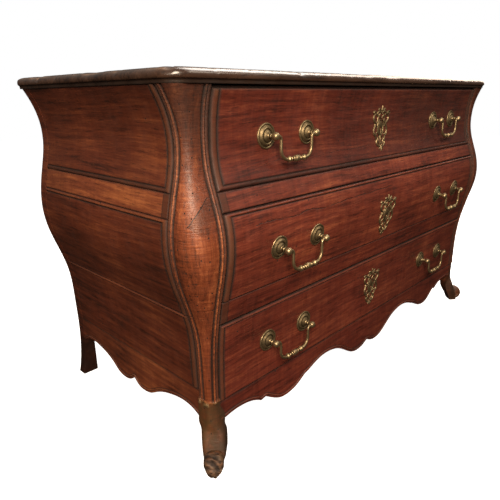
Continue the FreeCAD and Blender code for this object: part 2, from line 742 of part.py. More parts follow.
def rosette(name, x, face, height, front_inner):
    """A turned rosette: a beaded rim, a hollow ring and a domed boss, with its back sunk for seating."""
    rim, ring, boss = D["rosette_radius"], D["rosette_step_radius"], D["rosette_boss_radius"]
    low = D["rosette_plate"]
    middle = low + D["rosette_step"]
    high = middle + D["rosette_boss"]
    bead = D["rosette_bead"]
    shape = DOC.addObject("Sketcher::SketchObject", f"{name}_profile")
    polygon(shape, [
        (NIL, face - front_inner), (rim, face - front_inner), (rim, low - bead), (rim - bead, low),
        (ring + bead * 3, low), (ring + bead * 2, low - bead), (ring + bead, low - bead),
        (ring, middle - bead), (ring - bead, middle), (boss + bead * 2, middle),
        (boss + bead, middle - bead), (boss, middle - bead), (boss - bead * 2, middle + bead),
        (D["post_radius"] + bead, high), (NIL, high),
    ])
    turned = DOC.addObject("Part::Revolution", name)
    turned.Source = shape
    turned.Axis = FreeCAD.Vector(0, 1, 0)
    turned.Angle = FULL_TURN
    turned.Solid = True
    return put(turned, x, face, height, OUTWARD)


def handle_fittings(drawer, middle_x, face, height, front_inner, side):
    """Rosettes and posts of one handle, and its bail; the posts run through the drawer front."""
    reach = D["handle_spread"] * 0.5
    pivot_y = face - D["post_standoff"]
    rosettes, posts, bores = [], [], []
    for end, sign in (("left", -1), ("right", 1)):
        tag = f"{drawer}_{side}_{end}"
        x = middle_x + sign * reach
        rosettes.append(rosette(f"rosette_{tag}", x, face, height, front_inner))
        nut_back = front_inner + D["nut_thickness"]
        posts.append(rod(f"post_neck_{tag}", (x, pivot_y, height), D["post_radius"],
                         face - pivot_y - D["rosette_plate"], ALONG_Y))
        posts.append(rod(f"post_shank_{tag}", (x, pivot_y, height), D["shank_radius"],
                         nut_back - pivot_y, ALONG_Y))
        posts.append(rod(f"post_nut_{tag}", (x, front_inner, height), D["nut_radius"],
                         D["nut_thickness"], ALONG_Y))
        ball = DOC.addObject("Part::Sphere", f"post_ball_{tag}")
        bind(ball, Radius=D["ball_radius"])
        posts.append(put(ball, x, pivot_y, height))
        reach_in = D["pin_depth"] + D["pin_clearance"]
        start = x - reach_in if sign < 0 else x - D["ball_radius"]
        length = D["ball_radius"] + reach_in
        bores.append(rod(f"post_bore_{tag}", (start, pivot_y, height),
                         D["pin_radius"] + D["pin_clearance"], length, ALONG_X))
    bail(f"bail_{drawer}_{side}", middle_x, pivot_y, height)
    return rosettes, posts, bores


for drawer, foot, ceiling, top, side_top in (
    ("upper", UPPER_RAIL_TOP, BODY_HEIGHT, BODY_HEIGHT - D["top_drawer_gap"], TOP_RAIL_FOOT),
    ("middle", LOWER_RAIL_TOP, UPPER_RAIL_FOOT, UPPER_RAIL_FOOT - GAP, UPPER_RAIL_FOOT),
    ("lower", APRON_TOP, LOWER_RAIL_FOOT, LOWER_RAIL_FOOT - GAP, LOWER_RAIL_FOOT),
):
    handle_z = foot + (ceiling - foot) * D[f"{drawer}_handle_share"]
    plate_z = foot + (ceiling - foot) * D[f"{drawer}_plate_share"]
    face = DATUM - front_at(handle_z)
    hollow = lesser(lesser(front_at(foot + GAP), front_at(top)), front_at(handle_z))
    inner = DATUM - hollow + D["front_least_thickness"]
    blank_low, blank_high = (-DRAWER_HALF, FRONT_FAR, foot + GAP), (DRAWER_HALF, inner, top)
    blank = region(f"{drawer}_front_blank", BLOCK, blank_low, blank_high)
    ring = groove_ring(f"{drawer}_front", blank_low, blank_high, axis=1)

    # Sides with dovetails into the front and the back.
    side_high = side_top - D["drawer_side_drop"]
    sides = []
    for side, x in (("left", -DRAWER_HALF), ("right", SIDE_IN)):
        body = DOC.addObject("PartDesign::Body", f"{drawer}_side_{side}_body")
        sketch = body_sketch(body, "YZ", f"{drawer}_side_{side}_shape")
        back_shoulder = DRAWER_BACK - D["drawer_side_thickness"]
        rear = tails(back_shoulder, DRAWER_BACK, foot, side_high)
        fore = tails(inner, inner - D["tail_length"], foot + GAP, side_high)
        polygon(sketch, [(inner, foot), (back_shoulder, foot), *rear, (back_shoulder, side_high),
                         (inner, side_high), *reversed(fore)])
        pad = body.newObject("PartDesign::Pad", f"{drawer}_side_{side}_pad")
        pad.Profile = sketch
        bind(pad, Length=D["drawer_side_thickness"])
        sides.append(put(body, x, NIL, NIL))

    # Bottom in grooves, and the back standing on it.
    bottom_foot = foot + D["drawer_bottom_rise"]
    bottom_top = bottom_foot + D["drawer_bottom_thickness"]
    groove = D["drawer_groove_depth"]
    bottom = keep(f"drawer_{drawer}_bottom", box(
        f"{drawer}_bottom_sheet", (-SIDE_IN - groove, inner - groove, bottom_foot),
        (SIDE_IN + groove, DRAWER_BACK, bottom_top)))
    back = box(f"{drawer}_back_board", (-DRAWER_HALF, DRAWER_BACK - D["drawer_side_thickness"], bottom_top),
               (DRAWER_HALF, DRAWER_BACK, side_high))
    keep(f"drawer_{drawer}_back", cut(f"{drawer}_back_pins", back, *sides))
    for side, piece in zip(("left", "right"), sides):
        keep(f"drawer_{drawer}_side_{side}", cut(f"{drawer}_side_{side}_grooved", piece, bottom))

    # Handles.
    rosettes, posts, bores = [], [], []
    for side, sign in (("left", -1), ("right", 1)):
        middle_x = sign * (D["handle_outer_place"] - D["handle_spread"] * 0.5)
        fittings = handle_fittings(drawer, middle_x, face, handle_z, inner, side)
        rosettes += fittings[0]
        posts += fittings[1]
        bores += fittings[2]
    tilt = tilt_about(face - D["post_standoff"], handle_z)
    stems = fuse(f"posts_joined_{drawer}", *posts)
    stems.Placement = tilt
    discs = fuse(f"rosettes_joined_{drawer}", *rosettes)
    discs.Placement = tilt
    post_set = keep(f"handle_posts_{drawer}", cut(f"posts_bored_{drawer}", stems, *bores))
    keep(f"rosettes_{drawer}", cut(f"rosettes_seated_{drawer}", discs, BLOCK, post_set))

    # Keyhole plate following the swell, and the keyhole through plate and front.
    half = D["plate_half_width"]
    right = [(half * across, D["plate_height"] * up) for across, up in PLATE_SHARES]
    left = [(-across, up) for across, up in reversed(right[:-1])]
    plate_face = outline(f"plate_face_{drawer}", [right, [right[-1], *left]], [], FACING_FRONT,
                         (NIL, inner, plate_z))
    plate_slab = prism(f"plate_slab_{drawer}", plate_face, FreeCAD.Vector(0, -1, 0), FAR)
    openings = []
    for count, loop in enumerate(PLATE_OPENING_SHARES, start=1):
        for end, sign in (("right", 1), ("left", -1)):
            rim = [(sign * half * across, D["plate_height"] * up) for across, up in loop]
            hole = outline(f"plate_hole{count}_{end}_{drawer}", [[*rim, rim[0]]], [], FACING_FRONT,
                           (NIL, inner, plate_z))
            openings.append(prism(f"plate_opening{count}_{end}_{drawer}", hole, FreeCAD.Vector(0, -1, 0), FAR))
    lock_back = inner + D["lock_thickness"]
    eye = rod(f"keyhole_eye_{drawer}", (NIL, FRONT_FAR, plate_z), D["keyhole_radius"],
              inner - FRONT_FAR, ALONG_Y)
    slot_half = D["keyhole_slot"] * 0.5
    slot = box(f"keyhole_slot_{drawer}", (-slot_half, FRONT_FAR, plate_z - D["keyhole_drop"]),
               (slot_half, inner, plate_z))
    keyhole = fuse(f"keyhole_{drawer}", eye, slot)
    keep(f"keyhole_plate_{drawer}", cut(
        f"plate_pierced_{drawer}", common(f"plate_blank_{drawer}", PLATE_SKIN, plate_slab),
        keyhole, *openings))

    # Lock on the inner face, with its bolt drawn in.
    lock_half = D["lock_width"] * 0.5
    lock_top = lesser(side_high - D["lock_bolt_rise"], plate_z + D["lock_height"] * 0.5)
    case = box(f"lock_case_{drawer}", (-lock_half, inner, lock_top - D["lock_height"]),
               (lock_half, lock_back, lock_top))
    bolt_half = D["lock_bolt_width"] * 0.5
    bolt = box(f"lock_bolt_{drawer}", (-bolt_half, inner + D["plate_thickness"], lock_top),
               (bolt_half, lock_back - D["plate_thickness"], lock_top + D["lock_bolt_rise"]))
    keep(f"lock_{drawer}", fuse(f"lock_whole_{drawer}", case, bolt))

    keep(f"drawer_{drawer}_front", cut(f"{drawer}_front_cut", blank, ring, *sides, bottom, post_set, keyhole))

DOC.recompute()

os.makedirs("parts", exist_ok=True)
for thing in DOC.Objects:
    if "Invalid" in thing.State or "Error" in thing.State:
        raise RuntimeError(f"{thing.Name} did not compute")
for node, thing in PIECES.items():
    if thing.Shape.isNull() or not thing.Shape.isValid() or not thing.Shape.Solids:
        raise RuntimeError(f"{node} is not a sound solid")
    thing.Shape.exportStep(f"parts/{node}.step")
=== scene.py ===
import json
import math

import bmesh
import bpy
import numpy as np
from bpy.props import FloatProperty, FloatVectorProperty, PointerProperty
from mathutils import Matrix, Vector, noise


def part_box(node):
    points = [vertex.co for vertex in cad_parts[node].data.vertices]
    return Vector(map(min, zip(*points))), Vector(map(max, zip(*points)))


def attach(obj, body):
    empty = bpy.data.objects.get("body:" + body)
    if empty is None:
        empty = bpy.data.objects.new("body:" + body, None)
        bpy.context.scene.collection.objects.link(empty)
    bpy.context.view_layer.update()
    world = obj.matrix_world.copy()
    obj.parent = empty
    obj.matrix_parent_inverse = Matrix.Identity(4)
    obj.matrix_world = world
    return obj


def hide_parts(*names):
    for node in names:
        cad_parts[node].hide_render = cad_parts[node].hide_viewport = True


bl_info = {
    "name": "Bombe chest dressing",
    "version": (1, 0, 0),
    "blender": (4, 5, 0),
    "location": "View3D > Sidebar > Chest",
    "description": "Builds the worn mahogany and brass of a bombe chest around its packed frame",
    "category": "Object",
}

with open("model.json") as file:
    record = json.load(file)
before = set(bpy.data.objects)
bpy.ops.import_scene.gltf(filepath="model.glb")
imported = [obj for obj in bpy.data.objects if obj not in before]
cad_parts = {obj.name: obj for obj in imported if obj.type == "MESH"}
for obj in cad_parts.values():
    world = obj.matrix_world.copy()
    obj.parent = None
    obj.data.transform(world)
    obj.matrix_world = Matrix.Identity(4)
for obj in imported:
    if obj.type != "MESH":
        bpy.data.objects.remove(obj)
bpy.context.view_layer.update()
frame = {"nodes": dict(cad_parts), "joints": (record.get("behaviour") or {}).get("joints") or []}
NODES = frame["nodes"]

MM = 0.001
QUARTER = math.pi / 2
DIAGONAL = math.sqrt(0.5)
DRAWERS = ("upper", "middle", "lower")
SIDES = (("left", -1), ("right", 1))


def low(node):
    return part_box(node)[0]


def high(node):
    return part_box(node)[1]


# Places taken from the frame, in metres.
BODY_TOP = high("back_board_upper").z
OPENING = high("top_rail_front").x
BACK = high("stile_back_left").y
STILE_BACK = low("side_panel_upper_left").y
BACK_STILE_FRONT = high("side_panel_upper_left").y
CARCASE_DEPTH = 596 * MM
DATUM = BACK - CARCASE_DEPTH
WAIST = 638 * MM
STILE_DEPTH = STILE_BACK - DATUM
CORNER_SHARE = 0.62
LEG_TOP = 108 * MM
REED_FOOT = 158 * MM
LEG_CORNER_OUT = -11 * MM

# The swelling outline from the floor up to the slab: share of the height under the slab, then how far the
# front stands out from the datum line and the sides from the waist, in millimetres.
LEVELS = [
    (0, -9, 15), (0.137, -11, 0), (0.274, -12, 1), (0.398, -6, 8), (0.479, 5, 26), (0.554, 18, 46),
    (0.623, 25, 55.5), (0.685, 20, 54), (0.747, 5, 45), (0.816, -13, 33), (0.89, -17, 31),
    (0.953, -12, 44), (1, -2, 63),
]

# Cross-section of an edge moulding from the gap to the field: share of its width, height in millimetres, and
# how much dark wax has gathered there.
MOULDING = [
    (0, -3.8, 1), (0.04, -2.8, 1), (0.09, -1.5, 0.7), (0.15, -0.2, 0.2), (0.25, 0.8, 0), (0.38, 1.4, 0),
    (0.52, 1.5, 0), (0.64, 1.2, 0), (0.74, 0.4, 0.2), (0.8, -0.7, 0.8), (0.85, -1.6, 1), (0.9, -1.7, 1),
    (0.96, -1.2, 1), (1.03, -0.6, 0.7), (1.12, -0.2, 0.35), (1.26, 0, 0),
]
# Reeds along the edge of a front stile: distance from the edge and height in millimetres, then dark wax,
# which at the edge by the drawer is painted shadow in the gap.
REEDS = [
    (0, -4.2, 1), (1.6, -4, 1), (2.2, -2.6, 1), (3, -1, 0.6), (4.4, 0.2, 0.3), (6, 0.5, 0.2),
    (7.6, 0.2, 0.3), (8.8, -0.8, 0.6), (9.6, -2.2, 1), (10.4, -2.8, 1), (11, -2.2, 1), (11.6, -0.6, 0.5),
    (12.5, 0.9, 0.1), (13.8, 1.4, 0), (15.1, 0.9, 0.1), (16, -0.4, 0.5), (16.8, -2.2, 1), (17.6, -3.2, 1),
    (18.8, -3.2, 1), (19.8, -2, 1), (20.8, -0.9, 0.7), (22.4, -0.3, 0.35), (25, 0, 0),
]
# The reed whose crown is lighter, as rubbed wear and as a painted highlight.
BRIGHT_REED = 13.8
# Edge of the slab from its underside round to its top: distance in from the widest line and height from the
# underside in millimetres, then dark wax, which on the underside and in the cove is also painted shade.
NOSING = [
    (6, 0, 1), (5.2, 0.3, 1), (4.7, 1.5, 0.9), (4.6, 3.5, 0.8), (4.3, 5.6, 0.8), (3.4, 7.2, 0.9),
    (2.2, 8, 0.8), (1.2, 8.4, 0.3), (0.6, 9.4, 0.1), (0.2, 11.5, 0), (0.1, 14, 0), (0.4, 16.4, 0),
    (1.2, 18.6, 0), (2.6, 20.5, 0), (4.6, 22.1, 0), (7.4, 23.6, 0), (11, 24.9, 0), (15, 25.9, 0),
    (20, 26.6, 0), (26, 26.9, 0), (34, 27, 0), (42, 27, 0),
]
SLAB_WEAR_REACH = 42
# The slab's left edge has lost more than the others: how many times as much.
SLAB_LEFT_WEAR = 2.0
# Height of the pale line on the slab's top rounding, painted as worn wood and as a reflection of the lights.
SLAB_SHEEN_LINE = 23.5

# Depth of the rebate along the top of a drawer front, painted fully dark as the shadow in the gap above
# it, and its height on each drawer.
REBATE_DEPTH = 5 * MM
TOP_REBATES = {"upper": 4.5 * MM, "middle": 1.2 * MM, "lower": 3.5 * MM}

# Painted light on each drawer front: how much painted shade darkens it towards the right, and how much
# painted light lightens it all over.
DRAWER_PAINTED_LIGHT = {"upper": (0.46, 0.0), "middle": (0.0, 0.52), "lower": (0.0, 0.08)}

# Level outlines of a front leg from the floor up: share of the leg's height, then corners as distances
# outward along the diagonal and sideways across it from the waist's corner, in millimetres. The last is the
# inner corner.
LEG_SECTIONS = [
    (0, ((-4, -17), (20, -15), (20, 15), (-4, 17), (-9, 0))),
    (0.25, ((-16, -21), (12, -20), (12, 20), (-16, 21), (-24, 1))),
    (0.48, ((-28, -24), (3, -22), (3, 22), (-28, 24), (-38, 2))),
    (0.68, ((-32, -26), (-5, -22), (-5, 22), (-31, 25), (-43, 4))),
    (0.85, ((-28, -25), (-9, -17), (-9, 17), (-31, 27), (-47, 7))),
    (1, ((-19.8, -19.8), (-8.5, -8.5), (-8.5, 8.5), (-29.7, 29.7), (-49.4, 9.9))),
]
# How much fuller the leg is lower down, as a share, and how far its foot stands towards the drawers.
LEG_FULLNESS = 0.20
LEG_LEAN = 4 * MM
# The knee spreads over the apron's end: how far, the height where that starts, the height that it takes to
# grow, how far round the corner it fades out, and how far it stands in front of the apron.
KNEE_SPREAD = 11 * MM
KNEE_TOP = 146 * MM
KNEE_RISE = 30 * MM
KNEE_FADE = 28 * MM
KNEE_LIFT = 1.5 * MM
SCROLL_RADIUS = 25 * MM
SCROLL_LENGTH = 44 * MM
SCROLL_REACH = 13 * MM
SCROLL_RISE = 2 * MM
# The left toe has spread and rotted at its lower front: share added to its radius there, and how far it has
# slid.
TOE_SPREAD = 0.40
TOE_SLIDE = 5 * MM
# Half of the curled toe's barrel from a cheek to its middle: places along it and radii, as shares.
SCROLL_BARREL = [
    (-1, 0.52), (-0.96, 0.63), (-0.89, 0.74), (-0.78, 0.84), (-0.62, 0.92), (-0.42, 0.97), (-0.2, 0.995),
    (0, 1),
]

# How much lighter hands have rubbed the front rails.
RAIL_RUB = {"rail_upper": 0.35, "rail_lower": 0.05}

# A glued repair across the left front stile: its middle, the way it runs and the way across it.
SEAM_MIDDLE = (-0.6623, DATUM - 0.0044, 0.584)
SEAM_ALONG = (-0.674, 0.080, -0.735)
SEAM_ACROSS = (-0.625, 0.469, 0.624)
SEAM_HALF_LENGTH = 34 * MM

# Lower edge of the front apron from the middle to the leg: share of the half opening and share of its
# height.
FRONT_SCALLOPS = [
    [(0, 0.419), (0.035, 0.354), (0.085, 0.321), (0.132, 0.354), (0.18, 0.456),
     (0.246, 0.617), (0.31, 0.695), (0.369, 0.71), (0.426, 0.668), (0.484, 0.584)],
    [(0.484, 0.584), (0.502, 0.568), (0.535, 0.497), (0.566, 0.436), (0.612, 0.393),
     (0.666, 0.403), (0.7, 0.46), (0.732, 0.539), (0.759, 0.61)],
    [(0.759, 0.61), (0.786, 0.59)],
    [(0.786, 0.59), (0.808, 0.641), (0.835, 0.686), (0.887, 0.725), (0.943, 0.722), (1, 0.678)],
]
# The same for the side aprons: share of half the side's length and share of the side apron's height.
SIDE_SCALLOPS = [
    [(0, 0.53), (0.07, 0.465), (0.18, 0.44), (0.29, 0.47), (0.38, 0.54), (0.48, 0.605),
     (0.6, 0.655), (0.74, 0.69), (0.86, 0.685), (0.94, 0.655), (1, 0.615)],
]

# Raised fillet inside the lower edge of an apron: distance from the edge and height in millimetres, then
# dark wax.
APRON_BEAD = [
    (0, -1.6, 0.6), (0.5, -0.7, 0.3), (1.2, -0.3, 0.1), (2.4, -0.1, 0), (3.8, -0.2, 0.1),
    (4.8, -0.6, 0.7), (5.4, -0.7, 1), (6, 0.3, 0.4), (6.8, 1.2, 0), (7.6, 1.5, 0), (8.4, 1.2, 0),
    (9.2, 0.3, 0.4), (9.9, -0.6, 1), (10.8, -0.3, 0.6), (12, 0, 0),
]
APRON_CREST = 7.6

# Turned outlines of the brass: radius and distance out from the drawer face, in millimetres.
ROSETTE = [
    (26.2, -5), (26.5, 0), (26.5, 0.9), (26.1, 1.8), (25.2, 2.5), (24, 2.6), (23, 2.2), (22.4, 1.6),
    (21.8, 1.6), (21, 2.2), (19.8, 3.2), (18.5, 4.6), (17.5, 5.5), (16.3, 5.9), (15, 5.5), (14.2, 4.7),
    (13.4, 4.4), (12.4, 4.9), (11, 6.1), (9.2, 7.4), (7.6, 8.3), (6.6, 9), (0, 9),
]
POST = [
    (0, 6), (5.9, 6), (6.1, 9.4), (5.6, 10.4), (4.4, 11.2), (3.9, 12.6), (4.1, 14.2), (5, 15.2),
    (5.4, 16), (5, 16.8), (4.2, 17.3), (4.1, 17.9), (5.4, 20), (7.2, 21.9), (8.3, 24.2), (8.7, 26.9),
    (8.3, 29.6), (7.1, 31.8), (5.1, 33.6), (2.7, 34.5), (0, 34.8),
]
POST_STANDOFF = 27 * MM
NUT_RADIUS = 7 * MM
NUT_THICKNESS = 4 * MM

# Hanging bail, in millimetres.
BAIL_REACH = 67
BAIL_ARM_INSET = 16
BAIL_DROP = 49
BAIL_PIN_DEPTH = 4.5
BAIL_SHOULDER = 8
BAIL_ELBOW = 22
HANDLE_MIDDLE = 391 * MM
# Turned beads on the lower bar from its middle outward: distance along the bar and radius.
BAIL_BEADS = [
    (0, 6.9), (3.4, 7.1), (5.6, 6.9), (6.3, 6.2), (6.8, 4.4), (7.4, 3.1), (8.6, 3.1), (9.4, 4.9),
    (10.4, 5.4), (11.4, 4.9), (12.2, 3.2), (14, 2.9), (16.6, 3.2), (17.4, 4.7), (18.2, 5), (19, 4.5),
    (19.7, 3.1), (20.6, 3.4), (21.8, 5.2), (23.4, 6.6), (24.8, 6.9), (26.2, 6.6), (27.6, 5.4),
    (28.6, 3.6), (29, 3.4),
]
BAIL_ARM_RADIUS = 3.2
BAIL_ELBOW_RADIUS = 3.9

# Keyhole plates: half width and height in millimetres, then the strokes of the scrollwork on the right half.
# A stroke is its thickest half width in millimetres and points as shares of the half width and the height.
PLATE_HALF_WIDTH = 41
PLATE_HEIGHT = 118
PLATE_STROKES = [
    (3, [(0.02, 0.405), (0.14, 0.4), (0.27, 0.425), (0.36, 0.44), (0.4, 0.415), (0.33, 0.4)]),
    (3.4, [(0.05, 0.345), (0.2, 0.375), (0.4, 0.372), (0.52, 0.335), (0.48, 0.29), (0.36, 0.285),
           (0.33, 0.312)]),
    (3.2, [(0.5, 0.3), (0.66, 0.33), (0.82, 0.37), (0.96, 0.375), (1, 0.345), (0.9, 0.33)]),
    (3.8, [(0.58, 0.345), (0.8, 0.312), (0.92, 0.262), (0.9, 0.205), (0.74, 0.15), (0.6, 0.105),
           (0.64, 0.065), (0.76, 0.075), (0.74, 0.105)]),
    (3.4, [(0.3, 0.275), (0.4, 0.225), (0.42, 0.165), (0.52, 0.125), (0.62, 0.105)]),
    (3.8, [(0.56, 0.13), (0.7, 0.055), (0.8, -0.02), (0.79, -0.095), (0.66, -0.15), (0.52, -0.14),
           (0.54, -0.105), (0.62, -0.11)]),
    (3.4, [(0.66, -0.14), (0.56, -0.195), (0.46, -0.235), (0.5, -0.29), (0.45, -0.345), (0.28, -0.385),
           (0.13, -0.38), (0.14, -0.35), (0.22, -0.35)]),
    (2.6, [(0.02, 0.195), (0.2, 0.185), (0.34, 0.11), (0.36, 0.01), (0.28, -0.09), (0.12, -0.145),
           (0.02, -0.155)]),
    (2.4, [(0.06, -0.165), (0.24, -0.185), (0.31, -0.245), (0.24, -0.31), (0.09, -0.335), (0.03, -0.3)]),
    (2.2, [(0.34, 0.04), (0.46, 0.055), (0.58, 0.09)]),
    (2.2, [(0.32, -0.06), (0.44, -0.085), (0.56, -0.125)]),
    (2.4, [(0.03, 0.225), (0.14, 0.255), (0.22, 0.3), (0.16, 0.335), (0.05, 0.33)]),
    (2.2, [(0.03, -0.4), (0.12, -0.415), (0.2, -0.445), (0.15, -0.46)]),
]
PLATE_MIDDLE_STROKES = [
    (3.6, [(0, 0.35), (0, 0.4), (0, 0.45), (0, 0.5)]),
    (3, [(0, -0.38), (0, -0.43), (0, -0.47), (0, -0.5)]),
    (2.6, [(0, -0.15), (0, -0.22), (0, -0.3)]),
]
SHIELD_HALF_WIDTH = 12.5
SHIELD_HALF_HEIGHT = 20.5
KEYHOLE_RADIUS = 3.4
KEYHOLE_SLOT = 1.7
KEYHOLE_DROP = 11.0

PLAIN_NODES = [
    "top_rail_front", "top_rail_back", "back_board_upper", "back_board_lower", "dust_board_upper",
    "dust_board_lower", "bottom_board", "drawer_guide_left", "drawer_guide_right",
] + [f"drawer_{drawer}_{part}" for drawer in DRAWERS
     for part in ("side_left", "side_right", "back", "bottom")]


# Sizes, colours and stage settings.


def length_choice(name, description, default, least, most):
    return FloatProperty(name=name, description=description, default=default, min=least, max=most,
                         unit="LENGTH")


def power_choice(name, description, default):
    return FloatProperty(name=name, description=description, default=default, min=0.0, unit="POWER")


def angle_choice(name, description, degrees):
    return FloatProperty(name=name, description=description, default=math.radians(degrees), subtype="ANGLE",
                         unit="ROTATION")


def colour_choice(name, description, default):
    return FloatVectorProperty(name=name, description=description, default=default, size=3,
                               min=0.0, max=1.0, subtype="COLOR")


class ChestSizes(bpy.types.PropertyGroup):
    """Sizes of the dressing that the frame leaves open."""

    side_bead: length_choice("Upright moulding", "Width of upright mouldings", 0.0175, 0.006, 0.03)
    rail_bead: length_choice("Level moulding", "Width of level mouldings", 0.0105, 0.004, 0.03)
    waviness: length_choice("Hand planing", "How far planed faces stray", 0.0005, 0.0, 0.002)
    slab_wear: length_choice("Slab wear", "How much of the slab's edge has worn away", 0.0026, 0.0, 0.006)
    foot_wear: length_choice("Foot wear", "Depth of the eroded hollows on the front feet", 0.0022, 0.0, 0.005)


class ChestColours(bpy.types.PropertyGroup):
    """Colours of the woods and metals."""

    front_dark: colour_choice("Front, dark", "Dark figure of the drawer fronts", (0.041, 0.0085, 0.0060))
    front_middle: colour_choice("Front, middle", "Main colour of the drawer fronts", (0.140, 0.0255, 0.0155))
    front_light: colour_choice("Front, light", "Light figure of the drawer fronts", (0.330, 0.0840, 0.0400))
    side_dark: colour_choice("Side, dark", "Dark figure of the sides", (0.026, 0.0075, 0.0045))
    side_middle: colour_choice("Side, middle", "Main colour of the sides", (0.125, 0.0285, 0.0135))
    side_light: colour_choice("Side, light", "Light figure of the sides", (0.310, 0.0880, 0.0330))
    stile_dark: colour_choice("Stile, dark", "Dark figure of the stiles", (0.050, 0.0150, 0.0075))
    stile_middle: colour_choice("Stile, middle", "Main colour of the stiles", (0.195, 0.0460, 0.0180))
    stile_light: colour_choice("Stile, light", "Light figure of the stiles", (0.410, 0.1220, 0.0460))
    top_dark: colour_choice("Slab, dark", "Dark figure of the slab", (0.011, 0.0058, 0.0042))
    top_middle: colour_choice("Slab, middle", "Main colour of the slab", (0.066, 0.0330, 0.0210))
    top_light: colour_choice("Slab, light", "Light figure of the slab", (0.160, 0.0900, 0.0600))
    plain_dark: colour_choice("Plain, dark", "Dark figure of the plain boards", (0.110, 0.0560, 0.0240))
    plain_middle: colour_choice("Plain, middle", "Main colour of the plain boards", (0.270, 0.1500, 0.0680))
    plain_light: colour_choice("Plain, light", "Light figure of the plain boards", (0.420, 0.2600, 0.1300))
    # Also the colour of the painted shade and painted shadows laid on the wood.
    wax: colour_choice("Old wax", "Dark wax and dirt in the hollows", (0.0100, 0.0045, 0.0028))
    band: colour_choice("Moulding tint", "Duller tint of the mouldings", (0.085, 0.0280, 0.0135))
    olive: colour_choice("Leg varnish", "Old varnish on the legs", (0.095, 0.0560, 0.0220))
    # Also paints the pale reflection line on the slab and the pale highlights on the stile's lumps.
    bare: colour_choice("Bare wood", "Bare wood where a foot has worn", (0.420, 0.2600, 0.1650))
    brass_bright: colour_choice("Brass, rubbed", "Brass where hands rub it", (0.410, 0.3100, 0.1750))
    brass_dull: colour_choice("Brass, dull", "Tarnish in the hollows of the brass", (0.050, 0.0340, 0.0160))
    iron: colour_choice("Lock iron", "Forged iron of the locks", (0.075, 0.0700, 0.0650))
    iron_dull: colour_choice("Lock rust", "Rust on the locks", (0.035, 0.0220, 0.0160))


class ChestStage(bpy.types.PropertyGroup):
    """Camera, lights and floor."""

    camera_place: FloatVectorProperty(
        name="Camera", description="Place of the camera", default=(-1.1959, DATUM - 0.6525, 0.7809), size=3,
        subtype="XYZ", unit="LENGTH")
    camera_yaw: angle_choice("Yaw", "Turn of the camera from the chest's depth towards its right", 45.797)
    camera_pitch: angle_choice("Pitch", "Downward tilt of the camera", 17.845)
    camera_roll: angle_choice("Roll", "Roll of the camera", -0.557)
    camera_lens: FloatProperty(
        name="Lens", description="Focal length", default=34.33, min=10.0, max=200.0, unit="CAMERA")
    key_power: power_choice("Key light", "Power of the warm light behind the camera", 95.0)
    window_power: power_choice("Window light", "Power of the light in front of the drawers", 15.0)
    ceiling_power: power_choice("Ceiling light", "Power of the broad light overhead", 45.0)
    rim_power: power_choice("Rim light", "Power of the light that shines along the slab's edge", 27.0)
    ambient: FloatProperty(
        name="Room light", description="Strength of the even light of the room", default=0.25, min=0.0,
        max=2.0)
    floor_shade: colour_choice("Floor", "Colour of the floor", (0.93, 0.93, 0.93))


# Curves and surfaces.


def spline(places, values):
    """A natural cubic curve through values at rising places, as a function of place."""
    places, values = np.asarray(places, float), np.asarray(values, float)
    gaps = np.diff(places)
    count = len(places)
    rows = np.eye(count)
    bends = np.zeros(count)
    for k in range(1, count - 1):
        rows[k, k - 1:k + 2] = gaps[k - 1], 2 * (gaps[k - 1] + gaps[k]), gaps[k]
        bends[k] = 6 * ((values[k + 1] - values[k]) / gaps[k] - (values[k] - values[k - 1]) / gaps[k - 1])
    bends = np.linalg.solve(rows, bends)

    def at(place):
        place = np.asarray(place, float)
        k = np.clip(np.searchsorted(places, place) - 1, 0, count - 2)
        gap = gaps[k]
        before, after = (places[k + 1] - place) / gap, (place - places[k]) / gap
        sag = (before ** 3 - before) * bends[k] + (after ** 3 - after) * bends[k + 1]
        return before * values[k] + after * values[k + 1] + sag * gap * gap / 6

    return at


def slope_of(curve, place, step=0.5 * MM):
    return (curve(place + step) - curve(place - step)) / (2 * step)


HEIGHTS = [share * BODY_TOP for share, _, _ in LEVELS]
FRONT = spline(HEIGHTS, [DATUM - front * MM for _, front, _ in LEVELS])
SIDE = spline(HEIGHTS, [WAIST + side * MM for _, _, side in LEVELS])


def unit(vectors):
    return vectors / np.linalg.norm(vectors, axis=-1, keepdims=True)


def run_lengths(spots):
    """How far along a run of points each of them lies."""
    return np.concatenate([[0], np.cumsum(np.linalg.norm(np.diff(spots, axis=0), axis=1))])


def ramp(value, start, end):
    """None before the start, full past the end, and even between them."""
    return np.clip((value - start) / (end - start), 0, 1)


def eased(share):
    return share * share * (3 - 2 * share)


def bell(value, middle, width):
    return np.exp(-((value - middle) / width) ** 2)


def most(first, *others):
    for values in others:
        first = np.maximum(first, values)
    return first


def front_face(xs, zs):
    """Points and outward normals of the swelling front."""
    none = np.zeros_like(xs)
    points = np.stack([xs, FRONT(zs), zs], axis=-1)
    return points, unit(np.stack([none, none - 1, slope_of(FRONT, zs)], axis=-1))


def side_face(sign):
    """The same for the left or right side, over depth and height."""

    def face(ys, zs):
        none = np.zeros_like(ys)
        points = np.stack([sign * SIDE(zs), ys, zs], axis=-1)
        return points, unit(np.stack([none + sign, none, -slope_of(SIDE, zs)], axis=-1))

    return face


def column(table, index):
    return np.array([row[index] for row in table], float)


# Lines near an edge without a moulding, in millimetres, how far its rounding and its wax reach, and how
# strong the wax is.
PLAIN_EDGE = (0.0, 0.4, 1.0, 2.0, 4.0)
ARRIS_REACH, ARRIS_WAX_REACH, ARRIS_WAX = 2 * MM, 3 * MM, 0.8
# Tint of the mouldings and the share of their width that it covers, the place and width of the rubbed crown,
# also a painted highlight, how strong it is below the top edge, where a top bead's painted highlight shows,
# and how dark the foot moulding is painted and over what share of its width.
BAND_SHARE, LEVEL_BAND, FAR_SHARE = 0.83, 0.3, 9.0
CROWN_PLACE, CROWN_WIDTH, CROWN_TOP, CROWN_REST = 0.45, 0.18, 14 * MM, 0.35
FOOT_DARKENING, FOOT_DARKENING_SHARE = 0.6, 0.8


